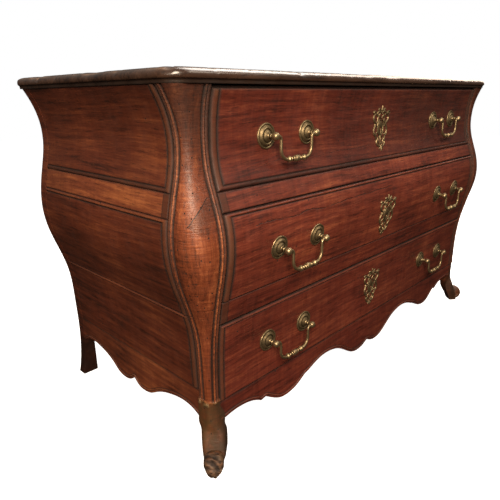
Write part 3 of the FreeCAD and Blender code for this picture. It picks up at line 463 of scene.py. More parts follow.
def ruled(start, end, first_width, last_width, step):
    """Places across a board: a moulding's own lines at each end and even steps between."""
    plain = np.array(PLAIN_EDGE) * MM
    shares = column(MOULDING, 0)
    first = shares * first_width if first_width else plain
    last = shares * last_width if last_width else plain
    inner_start, inner_end = start + first[-1], end - last[-1]
    steps = max(2, round((inner_end - inner_start) / step))
    inner = np.linspace(inner_start, inner_end, steps + 1)[1:-1]
    return np.concatenate([start + first, inner, (end - last)[::-1]])


def moulded(us, vs, widths, arris=1.3 * MM):
    """Relief and wax over a board from the moulding widths at its four edges: left, right, foot, top."""
    gaps = [us - us.min(), us.max() - us, vs - vs.min(), vs.max() - vs]
    share = np.full_like(us, FAR_SHARE)
    upright = np.zeros_like(us)
    for place, (gap, width) in enumerate(zip(gaps, widths)):
        if width:
            nearer = gap / width < share
            share = np.where(nearer, gap / width, share)
            upright = np.where(nearer, 1.0 if place < 2 else 0.0, upright)
    shares, heights, waxes = (column(MOULDING, place) for place in range(3))
    relief, wax = np.interp(share, shares, heights) * MM, np.interp(share, shares, waxes)
    band = np.where(share < BAND_SHARE, LEVEL_BAND + (1 - LEVEL_BAND) * upright, 0.0)
    for gap, width in zip(gaps, widths):
        if not width:
            relief -= arris * ramp(gap, ARRIS_REACH, 0) ** 2
            wax = most(wax, ARRIS_WAX * ramp(gap, ARRIS_WAX_REACH, 0))
    # The crown is lighter as rubbed wear and as a painted highlight, strongest on a top bead.
    crown = bell(share, CROWN_PLACE, CROWN_WIDTH) * np.where(gaps[3] < CROWN_TOP, 1.0, CROWN_REST)
    below = np.where((gaps[2] < widths[2] * FOOT_DARKENING_SHARE) & (upright == 0), FOOT_DARKENING, 0.0)
    return relief, most(wax, below), band, crown


SEED_STEP = Vector((7.1, 3.3, 5.7))


def stray(points, size, amount, seed):
    """Smooth random offsets at points, for the hand-planed surface."""
    flat = points.reshape(-1, 3)
    values = [noise.noise(Vector(point) / size + SEED_STEP * seed) for point in flat]
    return np.array(values).reshape(points.shape[:-1]) * amount


# Meshes.


def grid_faces(rows, cols):
    index = np.arange(rows * cols).reshape(rows, cols)
    return np.stack([index[:-1, :-1], index[:-1, 1:], index[1:, 1:], index[1:, :-1]], -1).reshape(-1, 4)


def ring_faces(rows, cols):
    """Faces of a tube of rings, with a cap at each end."""
    index = np.arange(rows * cols).reshape(rows, cols)
    ahead = np.roll(index, -1, axis=1)
    sides = np.stack([index[:-1], ahead[:-1], ahead[1:], index[1:]], -1).reshape(-1, 4)
    return [tuple(face) for face in (*sides.tolist(), index[0].tolist(), index[-1].tolist())]


def close_board(outer, inner):
    """Points and faces of a board between an outer and an inner grid, and the number of outer faces."""
    rows, cols = outer.shape[:2]
    count = rows * cols
    index = np.arange(count).reshape(rows, cols)
    rim = np.concatenate([index[0, :], index[1:, -1], index[-1, -2::-1], index[-2:0:-1, 0]])
    ahead = np.roll(rim, -1)
    skin = grid_faces(rows, cols)
    walls = np.stack([rim, ahead, ahead + count, rim + count], -1)
    points = np.concatenate([outer.reshape(-1, 3), inner.reshape(-1, 3)])
    return points, np.concatenate([skin, walls, skin[:, ::-1] + count]), len(skin) + len(walls)


def turned(profile, segments, matrix):
    """A turned solid from radii and heights along its axis, closed at both ends, set in place by a matrix."""
    points, faces, rings = [], [], []
    for radius, height in profile:
        if radius == 0:
            rings.append([len(points)])
            points.append((0.0, 0.0, height))
            continue
        rings.append(list(range(len(points), len(points) + segments)))
        for k in range(segments):
            angle = 2 * math.pi * k / segments
            points.append((radius * math.cos(angle), radius * math.sin(angle), height))
    for one, two in zip(rings, rings[1:]):
        for k in range(segments):
            ahead = (k + 1) % segments
            if len(one) == 1:
                faces.append((one[0], two[k], two[ahead]))
            elif len(two) == 1:
                faces.append((one[k], one[ahead], two[0]))
            else:
                faces.append((one[k], one[ahead], two[ahead], two[k]))
    for ring in (rings[0], rings[-1]):
        if len(ring) > 1:
            faces.append(tuple(ring))
    return [tuple(matrix @ Vector(point)) for point in points], faces


def swept(path, radii, segments, matrix):
    """A round bar along a path in the local XZ plane, with a radius at each point and closed ends."""
    path = np.asarray(path, float)
    along = unit(np.gradient(path, axis=0))
    across = np.stack([along[:, 1], -along[:, 0]], -1)
    points = []
    for (x, z), (nx, nz), radius in zip(path, across, radii):
        for k in range(segments):
            angle = 2 * math.pi * k / segments
            side, depth = radius * math.cos(angle), radius * math.sin(angle)
            points.append(tuple(matrix @ Vector((x + nx * side, depth, z + nz * side))))
    return points, ring_faces(len(path), segments)


def gathered(parts):
    """Several meshes as one list of points and faces."""
    points, faces = [], []
    for part_points, part_faces in parts:
        start = len(points)
        points += [tuple(point) for point in part_points]
        faces += [tuple(int(corner) + start for corner in face) for face in part_faces]
    return points, faces


# How strongly a bend shows as a hollow, the mark on a flat face, and a distance that keeps directions
# defined.
HOLLOW_GAIN, FLAT_MARK, HAIR = 3.0, 0.25, 1e-12


def hollow_marks(mesh):
    """How far each point lies in a hollow, for the tarnish."""
    count = len(mesh.vertices)
    places = np.array([vertex.co for vertex in mesh.vertices])
    normals = np.array([vertex.normal for vertex in mesh.vertices])
    pairs = np.array([edge.vertices[:] for edge in mesh.edges])
    total, number = np.zeros(count), np.zeros(count)
    for one, two in (pairs.T, pairs[:, ::-1].T):
        ahead = unit(places[two] - places[one] + HAIR)
        np.add.at(total, one, (ahead * normals[one]).sum(-1))
        np.add.at(number, one, 1)
    return np.clip(total / np.maximum(number, 1) * HOLLOW_GAIN + FLAT_MARK, 0, 1)


def turn_outward(mesh):
    shell = bmesh.new()
    shell.from_mesh(mesh)
    bmesh.ops.recalc_face_normals(shell, faces=shell.faces)
    shell.to_mesh(mesh)
    shell.free()


def add_piece(name, points, faces, finishes, body, stands_for, marks=None, picks=None, crease=40):
    """Make a piece, turn its faces outward, smooth it, mark its points and hand it to the frame."""
    mesh = bpy.data.meshes.new(name)
    mesh.from_pydata([tuple(point) for point in points], [], [tuple(int(c) for c in face) for face in faces])
    for finish in finishes:
        mesh.materials.append(FINISHES[finish])
    if picks is not None:
        mesh.polygons.foreach_set("material_index", picks)
    turn_outward(mesh)
    mesh.polygons.foreach_set("use_smooth", [True] * len(mesh.polygons))
    mesh.set_sharp_from_angle(angle=math.radians(crease))
    for mark, values in (marks or {}).items():
        layer = mesh.attributes.new(mark, "FLOAT", "POINT")
        layer.data.foreach_set("value", np.asarray(values, np.float32))
    piece = bpy.data.objects.new(name, mesh)
    bpy.context.scene.collection.objects.link(piece)
    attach(piece, body)
    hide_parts(*stands_for)
    return piece


# Marks of a board: darkening by wax and painted shade, the moulding tint, and lightening by rubbing and
# painted highlights.
BOARD_MARKS = ("wax", "band", "rubbed")


def add_board(name, face, grid, back, planed, look, finishes, body, stands_for):
    """A board with a plain back. Its look is its relief on the swelling skin, and its marks."""
    points, normals = face(*grid)
    relief = look[0] + stray(points, *planed)
    corners, faces, skin = close_board(points + normals * relief[..., None], back(points))
    spare = np.zeros(relief.size)
    layers = {mark: np.append(values, spare) for mark, values in zip(BOARD_MARKS, look[1:])}
    picks = [0] * skin + [1] * (len(faces) - skin)
    return add_piece(name, corners, faces, finishes, body, stands_for, layers, picks)


# Finishes.

FINISHES = {}
GROUPS = {}
COLOUR, NUMBER, PLACE = "NodeSocketColor", "NodeSocketFloat", "NodeSocketVector"
NOISE_MIDDLE, COARSE_DETAIL, FINE_DETAIL = 0.5, 2.0, 4.0
FALLING = (1.0, 0.0)


class Graph:
    """Adds nodes to a tree and joins them."""

    def __init__(self, tree):
        self.tree = tree

    def add(self, kind, inputs=None, **settings):
        node = self.tree.nodes.new(kind)
        for key, value in settings.items():
            setattr(node, key, value)
        for key, value in (inputs or {}).items():
            self.feed(node.inputs[key], value)
        return node

    def feed(self, socket, value):
        if isinstance(value, bpy.types.NodeSocket):
            self.tree.links.new(value, socket)
        else:
            socket.default_value = value

    def math(self, operation, one, two=0.0, clamp=False):
        return self.add("ShaderNodeMath", {0: one, 1: two}, operation=operation, use_clamp=clamp).outputs[0]

    def times(self, one, two, clamp=False):
        return self.math("MULTIPLY", one, two, clamp)

    def minus(self, one, two, clamp=False):
        return self.math("SUBTRACT", one, two, clamp)

    def plus(self, first, *others):
        for value in others:
            first = self.math("ADD", first, value)
        return first

    def most(self, one, two):
        return self.math("MAXIMUM", one, two)

    def size(self, value):
        return self.math("ABSOLUTE", value)

    def swing(self, noise, amount):
        """A noise moved to lie evenly about zero, and scaled."""
        return self.times(self.minus(noise, NOISE_MIDDLE), amount)

    def vector(self, operation, one, two):
        node = self.add("ShaderNodeVectorMath", {0: one, 1: two}, operation=operation)
        return node.outputs["Value" if operation == "DOT_PRODUCT" else "Vector"]

    def mix(self, share, one, two, blend="MIX"):
        node = self.add("ShaderNodeMix", {0: share, 6: one, 7: two}, data_type="RGBA", blend_type=blend)
        return node.outputs[2]

    def stretch(self, vector, scale, turn=(0.0, 0.0, 0.0)):
        return self.add("ShaderNodeMapping", {"Vector": vector, "Scale": scale, "Rotation": turn}).outputs[0]

    def noise(self, vector, scale=1.0, detail=3.0, roughness=0.55, distortion=0.0):
        node = self.add("ShaderNodeTexNoise", {
            "Vector": vector, "Scale": scale, "Detail": detail, "Roughness": roughness,
            "Distortion": distortion})
        return node.outputs[0]

    def range(self, value, span, out=(0.0, 1.0)):
        """Ease a value from one span to another, and hold it at the ends."""
        node = self.add("ShaderNodeMapRange", {
            "Value": value, "From Min": span[0], "From Max": span[1], "To Min": out[0], "To Max": out[1]},
            interpolation_type="SMOOTHSTEP")
        return node.outputs[0]

    def mark(self, name):
        return self.add("ShaderNodeAttribute", attribute_name=name).outputs["Fac"]

    def place(self):
        return self.add("ShaderNodeTexCoord").outputs["Object"]

    def split(self, vector):
        return self.add("ShaderNodeSeparateXYZ", {0: vector}).outputs

    def group(self, name, inputs):
        return self.add("ShaderNodeGroup", inputs, node_tree=GROUPS[name]).outputs


def new_group(name, inputs, outputs):
    """A shader node group with named sockets, and its graph, entry and exit."""
    tree = bpy.data.node_groups.new(name, "ShaderNodeTree")
    for label, kind in inputs.items():
        tree.interface.new_socket(label, in_out="INPUT", socket_type=kind)
    for label, kind in outputs.items():
        tree.interface.new_socket(label, in_out="OUTPUT", socket_type=kind)
    GROUPS[name] = tree
    graph = Graph(tree)
    return graph, graph.add("NodeGroupInput").outputs, graph.add("NodeGroupOutput").inputs


# Noises of the wood's figure: how they are stretched along the grain and across it, then their detail,
# roughness and distortion. The bent ones follow the wandering of the grain.
BENT_NOISES = {
    "broad": ((1.6, 17.0, 17.0), 5.0, 0.62, 0.35), "narrow": ((5.0, 95.0, 95.0), 4.0, 0.6, 0.0),
    "fine": ((16.0, 520.0, 520.0), 3.0, 0.6, 0.0), "fleck": ((24.0, 300.0, 300.0), 4.0, 0.7, 0.0),
}
STRAIGHT_NOISES = {
    "wander": ((2.2, 5.0, 5.0), 2.0, 0.55, 0.0), "ripple": ((120.0, 9.0, 9.0), 3.0, 0.6, 0.4),
    "dash": ((300.0, 46.0, 46.0), 3.0, 0.6, 0.5), "cloud": ((5.0, 5.0, 5.0), 4.0, 0.55, 0.0),
}
# Spans of tone or noise in which each part of the figure grows.
FIGURE_SPANS = {
    "middle": (0.18, 0.54), "light": (0.48, 0.92), "glint": (0.30, 0.44), "pore": (0.58, 0.72),
    "fleck": (0.55, 0.67),
}
# Weights of each part of the figure in its tone, its colour and its relief.
FIGURE_WEIGHTS = {
    "bend": 0.035, "lines": 0.85, "patches": 0.7, "hairs": 0.55, "glints": 0.4, "pores": 0.62,
    "wave_relief": 1.6, "hair_relief": 0.35, "pore_relief": 0.25,
}


def wood_figure_group():
    """Streaks, fine grain and cross ripple of a polished wood whose grain runs along its local X."""
    graph, given, put = new_group("wood_figure", {
        "Place": PLACE, "Dark": COLOUR, "Middle": COLOUR, "Light": COLOUR, "Streaks": NUMBER,
        "Ripple": NUMBER, "Grain": NUMBER, "Dashes": NUMBER}, {"Colour": COLOUR, "Height": NUMBER})
    place, spans, weights = given["Place"], FIGURE_SPANS, FIGURE_WEIGHTS

    def noises(table, where):
        return {name: graph.noise(graph.stretch(where, scale), 1.0, *rest)
                for name, (scale, *rest) in table.items()}

    straight = noises(STRAIGHT_NOISES, place)
    moved = graph.vector("ADD", place, straight["wander"])
    along = graph.add("ShaderNodeMix", {0: weights["bend"], 4: place, 5: moved}, data_type="VECTOR")
    bent = noises(BENT_NOISES, along.outputs[1])
    hairs = graph.swing(bent["fine"], given["Grain"])
    waves = graph.plus(graph.swing(straight["ripple"], given["Ripple"]),
                       graph.swing(straight["dash"], given["Dashes"]))
    tone = graph.plus(
        graph.swing(bent["broad"], given["Streaks"]), graph.swing(bent["narrow"], weights["lines"]), waves,
        graph.swing(straight["cloud"], weights["patches"]), graph.times(hairs, weights["hairs"]),
        NOISE_MIDDLE)
    lower = graph.mix(graph.range(tone, spans["middle"]), given["Dark"], given["Middle"])
    whole = graph.mix(graph.range(tone, spans["light"]), lower, given["Light"])
    glints = graph.times(graph.range(bent["fleck"], spans["glint"], FALLING), given["Grain"])
    whole = graph.mix(graph.times(glints, weights["glints"]), whole, given["Light"])
    pores = graph.most(graph.range(bent["fine"], spans["pore"]), graph.range(bent["fleck"], spans["fleck"]))
    graph.feed(put["Colour"], graph.mix(graph.times(pores, weights["pores"]), whole, given["Dark"]))
    relief = graph.plus(graph.times(waves, weights["wave_relief"]),
                        graph.times(hairs, weights["hair_relief"]))
    graph.feed(put["Height"], graph.minus(relief, graph.times(pores, weights["pore_relief"])))


SMEAR_SCALE, SMEAR_ROUGHNESS = 38.0, 0.6
SPECK_SCALE, SPECK_ROUGHNESS = 260.0, 0.6
CLOUD_SCALE, CLOUD_ROUGHNESS = 3.1, 0.5
WORM_CELLS = 48.0
RUB_TINT = (2.2, 2.6, 2.3, 1.0)
# Age marks: the span of noise or distance in which each grows, and how strong it is at the two ends.
AGE_RANGES = {
    "band": ((0.2, 0.75), (0.55, 0.95)), "rub": ((0.2, 0.8), (0.55, 1.0)), "wax": ((0.1, 0.8), (0.75, 1.0)),
    "hole": ((0.060, 0.085), FALLING), "ring": ((0.080, 0.130), (0.4, 0.0)),
    "cloud": ((0.25, 0.75), (0.0, 0.30)), "nick": ((0.66, 0.76), (0.0, 0.55)),
    "dull": ((0.25, 0.8), (-0.07, 0.12)),
}
# How much rougher dirt and mouldings are, and how deep smears, nicks and holes are.
DIRT_ROUGHNESS, BAND_ROUGHNESS = 0.30, 0.10
SMEAR_RELIEF, NICK_RELIEF, HOLE_RELIEF = 0.35, 0.5, 2.0


def age_marks_group():
    """Old wax in the hollows and painted shade, rubbed edges and painted highlights, worm holes, dents and
    cloudy polish over a wood.
    """
    graph, given, put = new_group("age_marks", {
        "Place": PLACE, "Colour": COLOUR, "Height": NUMBER, "Wax Colour": COLOUR, "Band Colour": COLOUR,
        "Wax": NUMBER, "Rubbed": NUMBER, "Band": NUMBER, "Worm Holes": NUMBER, "Polish": NUMBER,
    }, {"Colour": COLOUR, "Roughness": NUMBER, "Height": NUMBER})
    place, wax = given["Place"], given["Wax Colour"]
    smear = graph.noise(place, SMEAR_SCALE, FINE_DETAIL, SMEAR_ROUGHNESS)
    speck = graph.noise(place, SPECK_SCALE, roughness=SPECK_ROUGHNESS)
    cloud = graph.noise(place, CLOUD_SCALE, roughness=CLOUD_ROUGHNESS)
    parts = graph.split(place)
    around = graph.plus(graph.size(parts[0]), parts[1])
    cells = graph.add("ShaderNodeTexVoronoi", {
        "Vector": graph.add("ShaderNodeCombineXYZ", {0: around, 1: parts[2]}).outputs[0], "Scale": WORM_CELLS,
        "Randomness": 1.0}, voronoi_dimensions="2D").outputs
    pick = graph.add("ShaderNodeSeparateColor", {0: cells["Color"]}).outputs[0]
    chosen = graph.math("LESS_THAN", pick, given["Worm Holes"])
    sources = {"hole": cells["Distance"], "ring": cells["Distance"], "cloud": cloud, "nick": speck}
    marks = {name: graph.range(sources.get(name, smear), *spans) for name, spans in AGE_RANGES.items()}
    banded = graph.mix(graph.times(given["Band"], marks["band"]), given["Colour"], given["Band Colour"])
    lighter = graph.mix(1.0, banded, RUB_TINT, "MULTIPLY")
    rubbed = graph.mix(graph.times(given["Rubbed"], marks["rub"]), banded, lighter)
    hole, ring = (graph.times(chosen, marks[name]) for name in ("hole", "ring"))
    dirt = graph.most(graph.times(given["Wax"], marks["wax"]), graph.most(hole, ring))
    marked = graph.mix(marks["nick"], graph.mix(marks["cloud"], rubbed, wax), wax)
    graph.feed(put["Colour"], graph.mix(dirt, marked, wax))
    dull = graph.plus(given["Polish"], marks["dull"], graph.times(dirt, DIRT_ROUGHNESS))
    dull = graph.math("ADD", dull, graph.times(given["Band"], BAND_ROUGHNESS), clamp=True)
    graph.feed(put["Roughness"], dull)
    bumps = graph.plus(given["Height"], graph.times(smear, SMEAR_RELIEF))
    bumps = graph.minus(bumps, graph.times(marks["nick"], NICK_RELIEF))
    graph.feed(put["Height"], graph.minus(bumps, graph.times(hole, HOLE_RELIEF)))


CRACK_WANDER_SCALE, CRACK_WANDER_ROUGHNESS, CRACK_WANDER = 9.0, 0.65, 0.030
CRACK_BREAK_SCALE, CRACK_BREAK_SPAN, CRACK_WIDTHS = 26.0, (0.35, 0.55), (0.25, 1.0)
CRACK_RELIEF = 2.0


def crack_group():
    """A long wandering shrinkage crack that follows the grain at one height."""
    graph, given, put = new_group("long_crack", {
        "Place": PLACE, "Height": NUMBER, "Start": NUMBER, "End": NUMBER, "Rise": NUMBER, "Width": NUMBER,
    }, {"Mask": NUMBER})
    parts = graph.split(given["Place"])
    along = graph.add("ShaderNodeCombineXYZ", {0: parts[0], 2: given["Height"]}).outputs[0]
    wander = graph.noise(along, CRACK_WANDER_SCALE, FINE_DETAIL, CRACK_WANDER_ROUGHNESS)
    line = graph.plus(given["Height"], graph.swing(wander, CRACK_WANDER),
                      graph.times(parts[0], given["Rise"]))
    off = graph.size(graph.minus(parts[2], line))
    breaks = graph.noise(along, CRACK_BREAK_SCALE, COARSE_DETAIL)
    broken = graph.range(breaks, CRACK_BREAK_SPAN, CRACK_WIDTHS)
    inside = graph.times(graph.math("GREATER_THAN", parts[0], given["Start"]),
                         graph.math("LESS_THAN", parts[0], given["End"]))
    core = graph.minus(1.0, graph.math("DIVIDE", off, graph.times(given["Width"], broken)), clamp=True)
    graph.feed(put["Mask"], graph.times(core, inside))


SEAM_WANDER_SCALE, SEAM_WANDER = 90.0, 0.003
SEAM_LINE, SEAM_PATCH_NEAR, SEAM_PATCH_FAR = (0.0004, 0.0012), (-0.001, 0.0), (-0.045, -0.02)


def repair_seam_group():
    """A slanting glued seam across a stile: its line, and the newer piece of wood on its lower side."""
    graph, given, put = new_group("repair_seam", {
        "Place": PLACE, "Middle": PLACE, "Along": PLACE, "Across": PLACE, "Half Length": NUMBER,
    }, {"Line": NUMBER, "Patch": NUMBER})
    off = graph.vector("SUBTRACT", given["Place"], given["Middle"])
    along = graph.vector("DOT_PRODUCT", off, given["Along"])
    wander = graph.swing(graph.noise(off, SEAM_WANDER_SCALE, COARSE_DETAIL), SEAM_WANDER)
    across = graph.plus(graph.vector("DOT_PRODUCT", off, given["Across"]), wander)
    within = graph.math("LESS_THAN", graph.size(along), given["Half Length"])
    graph.feed(put["Line"], graph.times(graph.range(graph.size(across), SEAM_LINE, FALLING), within))
    below = graph.times(graph.range(across, SEAM_PATCH_NEAR, FALLING), graph.range(across, SEAM_PATCH_FAR))
    graph.feed(put["Patch"], graph.times(below, within))


BLOOM_SCALE, GRIT_SCALE, METAL_NOISE_ROUGHNESS = 70.0, 420.0, 0.6
HOLLOW_TARNISH, BLOOM_TARNISH, GRIT_TARNISH = 1.1, ((0.3, 0.75), (-0.15, 0.45)), ((0.5, 0.8), (0.0, 0.25))
TARNISH_ROUGHNESS, BLOOM_RELIEF, GRIT_RELIEF = 0.28, 0.6, 0.4


def tarnish_group():
    """Rubbed and tarnished metal."""
    graph, given, put = new_group("tarnish", {
        "Place": PLACE, "Bright": COLOUR, "Dull": COLOUR, "Hollow": NUMBER, "Age": NUMBER, "Polish": NUMBER,
    }, {"Colour": COLOUR, "Roughness": NUMBER, "Height": NUMBER})
    bloom = graph.noise(given["Place"], BLOOM_SCALE, FINE_DETAIL, METAL_NOISE_ROUGHNESS)
    grit = graph.noise(given["Place"], GRIT_SCALE, roughness=METAL_NOISE_ROUGHNESS)
    share = graph.plus(graph.times(given["Hollow"], HOLLOW_TARNISH), graph.range(bloom, *BLOOM_TARNISH),
                       graph.range(grit, *GRIT_TARNISH))
    share = graph.times(share, given["Age"], clamp=True)
    graph.feed(put["Colour"], graph.mix(share, given["Bright"], given["Dull"]))
    dull = graph.math("ADD", given["Polish"], graph.times(share, TARNISH_ROUGHNESS), clamp=True)
    graph.feed(put["Roughness"], dull)
    graph.feed(put["Height"], graph.plus(graph.times(bloom, BLOOM_RELIEF), graph.times(grit, GRIT_RELIEF)))


def rgba(colour):
    return (*colour, 1.0)


def new_material(name):
    material = bpy.data.materials.new(name)
    material.use_nodes = True
    material.node_tree.nodes.clear()
    graph = Graph(material.node_tree)
    shader = graph.add("ShaderNodeBsdfPrincipled")
    graph.add("ShaderNodeOutputMaterial", {"Surface": shader.outputs[0]})
    FINISHES[name] = material
    return graph, shader


ALONG_X, ALONG_Y, ALONG_Z = (0.0, 0.0, 0.0), (0.0, 0.0, QUARTER), (0.0, QUARTER, 0.0)
WOOD_BUMP, METAL_BUMP, METAL_BUMP_DEPTH = 0.45, 0.25, 0.5 * MM
COAT_ROUGHNESS, GLOSS_SMOOTHING, COATED_WAX = 0.22, 0.2, (0.0, 0.6)
TONES = ("dark", "middle", "light")
FIGURE_STRENGTHS = ("Streaks", "Ripple", "Grain", "Dashes")
CRACK_SOCKETS = ("Height", "Start", "End", "Rise", "Width")
# Each wood: its shades, the turn of its grain, the four strengths of its figure, its worm holes, its
# roughness, the weight of its clear coat and the depth of its relief.
WOODS = {
    "mahogany_front": ("front", ALONG_X, 0.38, 0.30, 1.1, 0.0, 0.012, 0.46, 0.05, 0.8 * MM),
    "mahogany_side": ("side", ALONG_Y, 0.35, 0.15, 0.75, 0.0, 0.012, 0.48, 0.05, 0.8 * MM),
    "mahogany_stile": ("stile", ALONG_Z, 1.0, 0.45, 0.5, 0.55, 0.24, 0.46, 0.04, 1.8 * MM),
    "mahogany_top": ("top", ALONG_X, 0.7, 0.1, 0.8, 0.0, 0.01, 0.30, 0.7, 0.8 * MM),
    "plain_wood": ("plain", ALONG_X, 1.0, 0.1, 1.2, 0.0, 0.05, 0.72, 0.0, 0.8 * MM),
    "plain_wood_deep": ("plain", ALONG_Y, 1.0, 0.1, 1.2, 0.0, 0.05, 0.72, 0.0, 0.8 * MM),
}
# Cracks in the drawer fronts: height, start, end, rise along the way and width.
CRACKS = {
    "mahogany_front": [
        (0.541, -0.53, 0.02, 0.012, 0.0016), (0.437, -0.45, -0.10, -0.02, 0.0007),
        (0.655, -0.52, -0.05, 0.01, 0.0006), (0.285, -0.15, 0.42, -0.015, 0.0008),
    ],
}
# Each metal: its two colours, how far tarnish has gone, its roughness and its metallic share.
METALS = {
    "aged_brass": ("brass_bright", "brass_dull", 0.95, 0.38, 0.90),
    "lock_iron": ("iron", "iron_dull", 1.0, 0.45, 1.0),
}
PATCH_SHARE = 0.45
LEG_SMEAR_SCALE, LEG_PIT_SCALE = 60.0, 260.0
VARNISH_RANGE, RAW_RANGE, PIT_SPAN = ((0.3, 0.7), (1.0, 0.55)), ((0.25, 0.6), (0.2, 1.0)), (0.47, 0.55)
DARK_FOOT_HEIGHTS, DARK_FOOT_SHARES, DARK_FOOT_FADE = (0.09, 0.14), (0.85, 0.0), 0.01


def stile_tint(graph, base, shades):
    """The repair on the left stile, the old varnish of the legs, the bare, eaten toe, and the shiny lumps
    painted pale as highlights.
    """
    place, bare = graph.place(), graph.mark("bare")
    seam = graph.group("repair_seam", {
        "Place": place, "Middle": SEAM_MIDDLE, "Along": SEAM_ALONG, "Across": SEAM_ACROSS,
        "Half Length": SEAM_HALF_LENGTH})
    patched = graph.mix(graph.times(seam["Patch"], PATCH_SHARE), base, rgba(shades.stile_dark))
    seamed = graph.mix(seam["Line"], patched, rgba(shades.wax))
    smear = graph.noise(place, LEG_SMEAR_SCALE, FINE_DETAIL, SMEAR_ROUGHNESS)
    coat = graph.times(graph.mark("olive"), graph.range(smear, *VARNISH_RANGE))
    varnished = graph.mix(coat, seamed, rgba(shades.olive))
    raw = graph.mix(graph.times(bare, graph.range(smear, *RAW_RANGE)), varnished, rgba(shades.bare))
    eaten = graph.times(bare, graph.range(graph.noise(place, LEG_PIT_SCALE), PIT_SPAN))
    return graph.mix(eaten, raw, rgba(shades.wax))


def top_tint(graph, base, shades):
    """The pale line round the slab: worn wood, and a painted reflection of the lights along its rounded edge.
    """
    return graph.mix(graph.mark("bare"), base, rgba(shades.bare))


def side_tint(graph, base, shades):
    """The back stiles, darker towards the floor."""
    parts = graph.split(graph.place())
    foot = graph.times(graph.range(parts[2], DARK_FOOT_HEIGHTS, DARK_FOOT_SHARES),
                       graph.range(parts[1], (BACK_STILE_FRONT - DARK_FOOT_FADE, BACK_STILE_FRONT)))
    return graph.mix(foot, base, rgba(shades.wax))


TINTS = {"mahogany_stile": stile_tint, "mahogany_top": top_tint, "mahogany_side": side_tint}


def wood_finish(name, wood, shades):
    """A polished wood: figure, tint, age marks and cracks."""
    graph, shader = new_material(name)
    kind, turn, *strengths, worm, polish, coat, depth = wood
    place, wax, gloss = graph.place(), rgba(shades.wax), graph.mark("gloss")
    figure = graph.group("wood_figure", {
        "Place": graph.stretch(place, (1.0, 1.0, 1.0), turn), **dict(zip(FIGURE_STRENGTHS, strengths)),
        **{tone.title(): rgba(getattr(shades, f"{kind}_{tone}")) for tone in TONES}})
    base = TINTS[name](graph, figure["Colour"], shades) if name in TINTS else figure["Colour"]
    aged = graph.group("age_marks", {
        "Place": place, "Colour": base, "Height": figure["Height"], "Wax Colour": wax,
        "Band Colour": rgba(shades.band), "Worm Holes": worm, "Polish": polish,
        **{mark.title(): graph.mark(mark) for mark in ("wax", "rubbed", "band")}})
    colour, height = aged["Colour"], aged["Height"]
    for crack in CRACKS.get(name, ()):
        mask = graph.group("long_crack", {"Place": place, **dict(zip(CRACK_SOCKETS, crack))})["Mask"]
        colour = graph.mix(mask, colour, wax)
        height = graph.minus(height, graph.times(mask, CRACK_RELIEF))
    bump = graph.add("ShaderNodeBump", {"Strength": WOOD_BUMP, "Distance": depth, "Height": height})
    graph.feed(shader.inputs["Base Color"], colour)
    graph.feed(shader.inputs["Roughness"],
               graph.minus(aged["Roughness"], graph.times(gloss, GLOSS_SMOOTHING), clamp=True))
    graph.feed(shader.inputs["Normal"], bump.outputs[0])
    shader.inputs["Coat Roughness"].default_value = COAT_ROUGHNESS
    if coat:
        clear = graph.range(graph.mark("wax"), COATED_WAX, (coat, 0.0))
        graph.feed(shader.inputs["Coat Weight"], graph.math("ADD", clear, gloss, clamp=True))


def metal_finish(name, metal, shades):
    graph, shader = new_material(name)
    bright, dull, age, polish, metallic = metal
    aged = graph.group("tarnish", {
        "Place": graph.place(), "Bright": rgba(getattr(shades, bright)), "Dull": rgba(getattr(shades, dull)),
        "Hollow": graph.mark("wax"), "Age": age, "Polish": polish})
    bump = graph.add("ShaderNodeBump", {
        "Strength": METAL_BUMP, "Distance": METAL_BUMP_DEPTH, "Height": aged["Height"]})
    graph.feed(shader.inputs["Base Color"], aged["Colour"])
    graph.feed(shader.inputs["Roughness"], aged["Roughness"])
    graph.feed(shader.inputs["Normal"], bump.outputs[0])
    shader.inputs["Metallic"].default_value = metallic


class CHEST_OT_finishes(bpy.types.Operator):
    """Mix the woods and metals"""

    bl_idname = "chest.finishes"
    bl_label = "Mix finishes"

    def execute(self, context):
        shades = context.scene.chest_colours
        for make_group in (wood_figure_group, age_marks_group, crack_group, repair_seam_group, tarnish_group):
            make_group()
        for name, wood in WOODS.items():
            wood_finish(name, wood, shades)
        for name, metal in METALS.items():
            metal_finish(name, metal, shades)
        return {"FINISHED"}


# Carcase pieces.

# Outline of the slab, then its wear: the size, strength and seed of each noise and the limits of what they
# do.
SLAB_CORNER, SLAB_STEP, SLAB_ARC_STEPS = 46 * MM, 4 * MM, 18
SLAB_CHIPS, SLAB_DENTS = (0.030, 3.0, 7), (0.11, 1.6, 3)
SLAB_NIBBLES, SLAB_PATCHES = (0.035, 0.9, 5), (0.05, 1.3, 9)
CHIP_START, MOST_WEAR, INWARD_WEAR, WORN_RISES = 1.1, 1.4, 0.8, (12, 27)
# The pale line on the top rounding, worn wood and a painted reflection: its share, width and middle.
PALE_SHARE, PALE_WIDTH, PALE_MIDDLE = 0.55, 1.8, 0.55


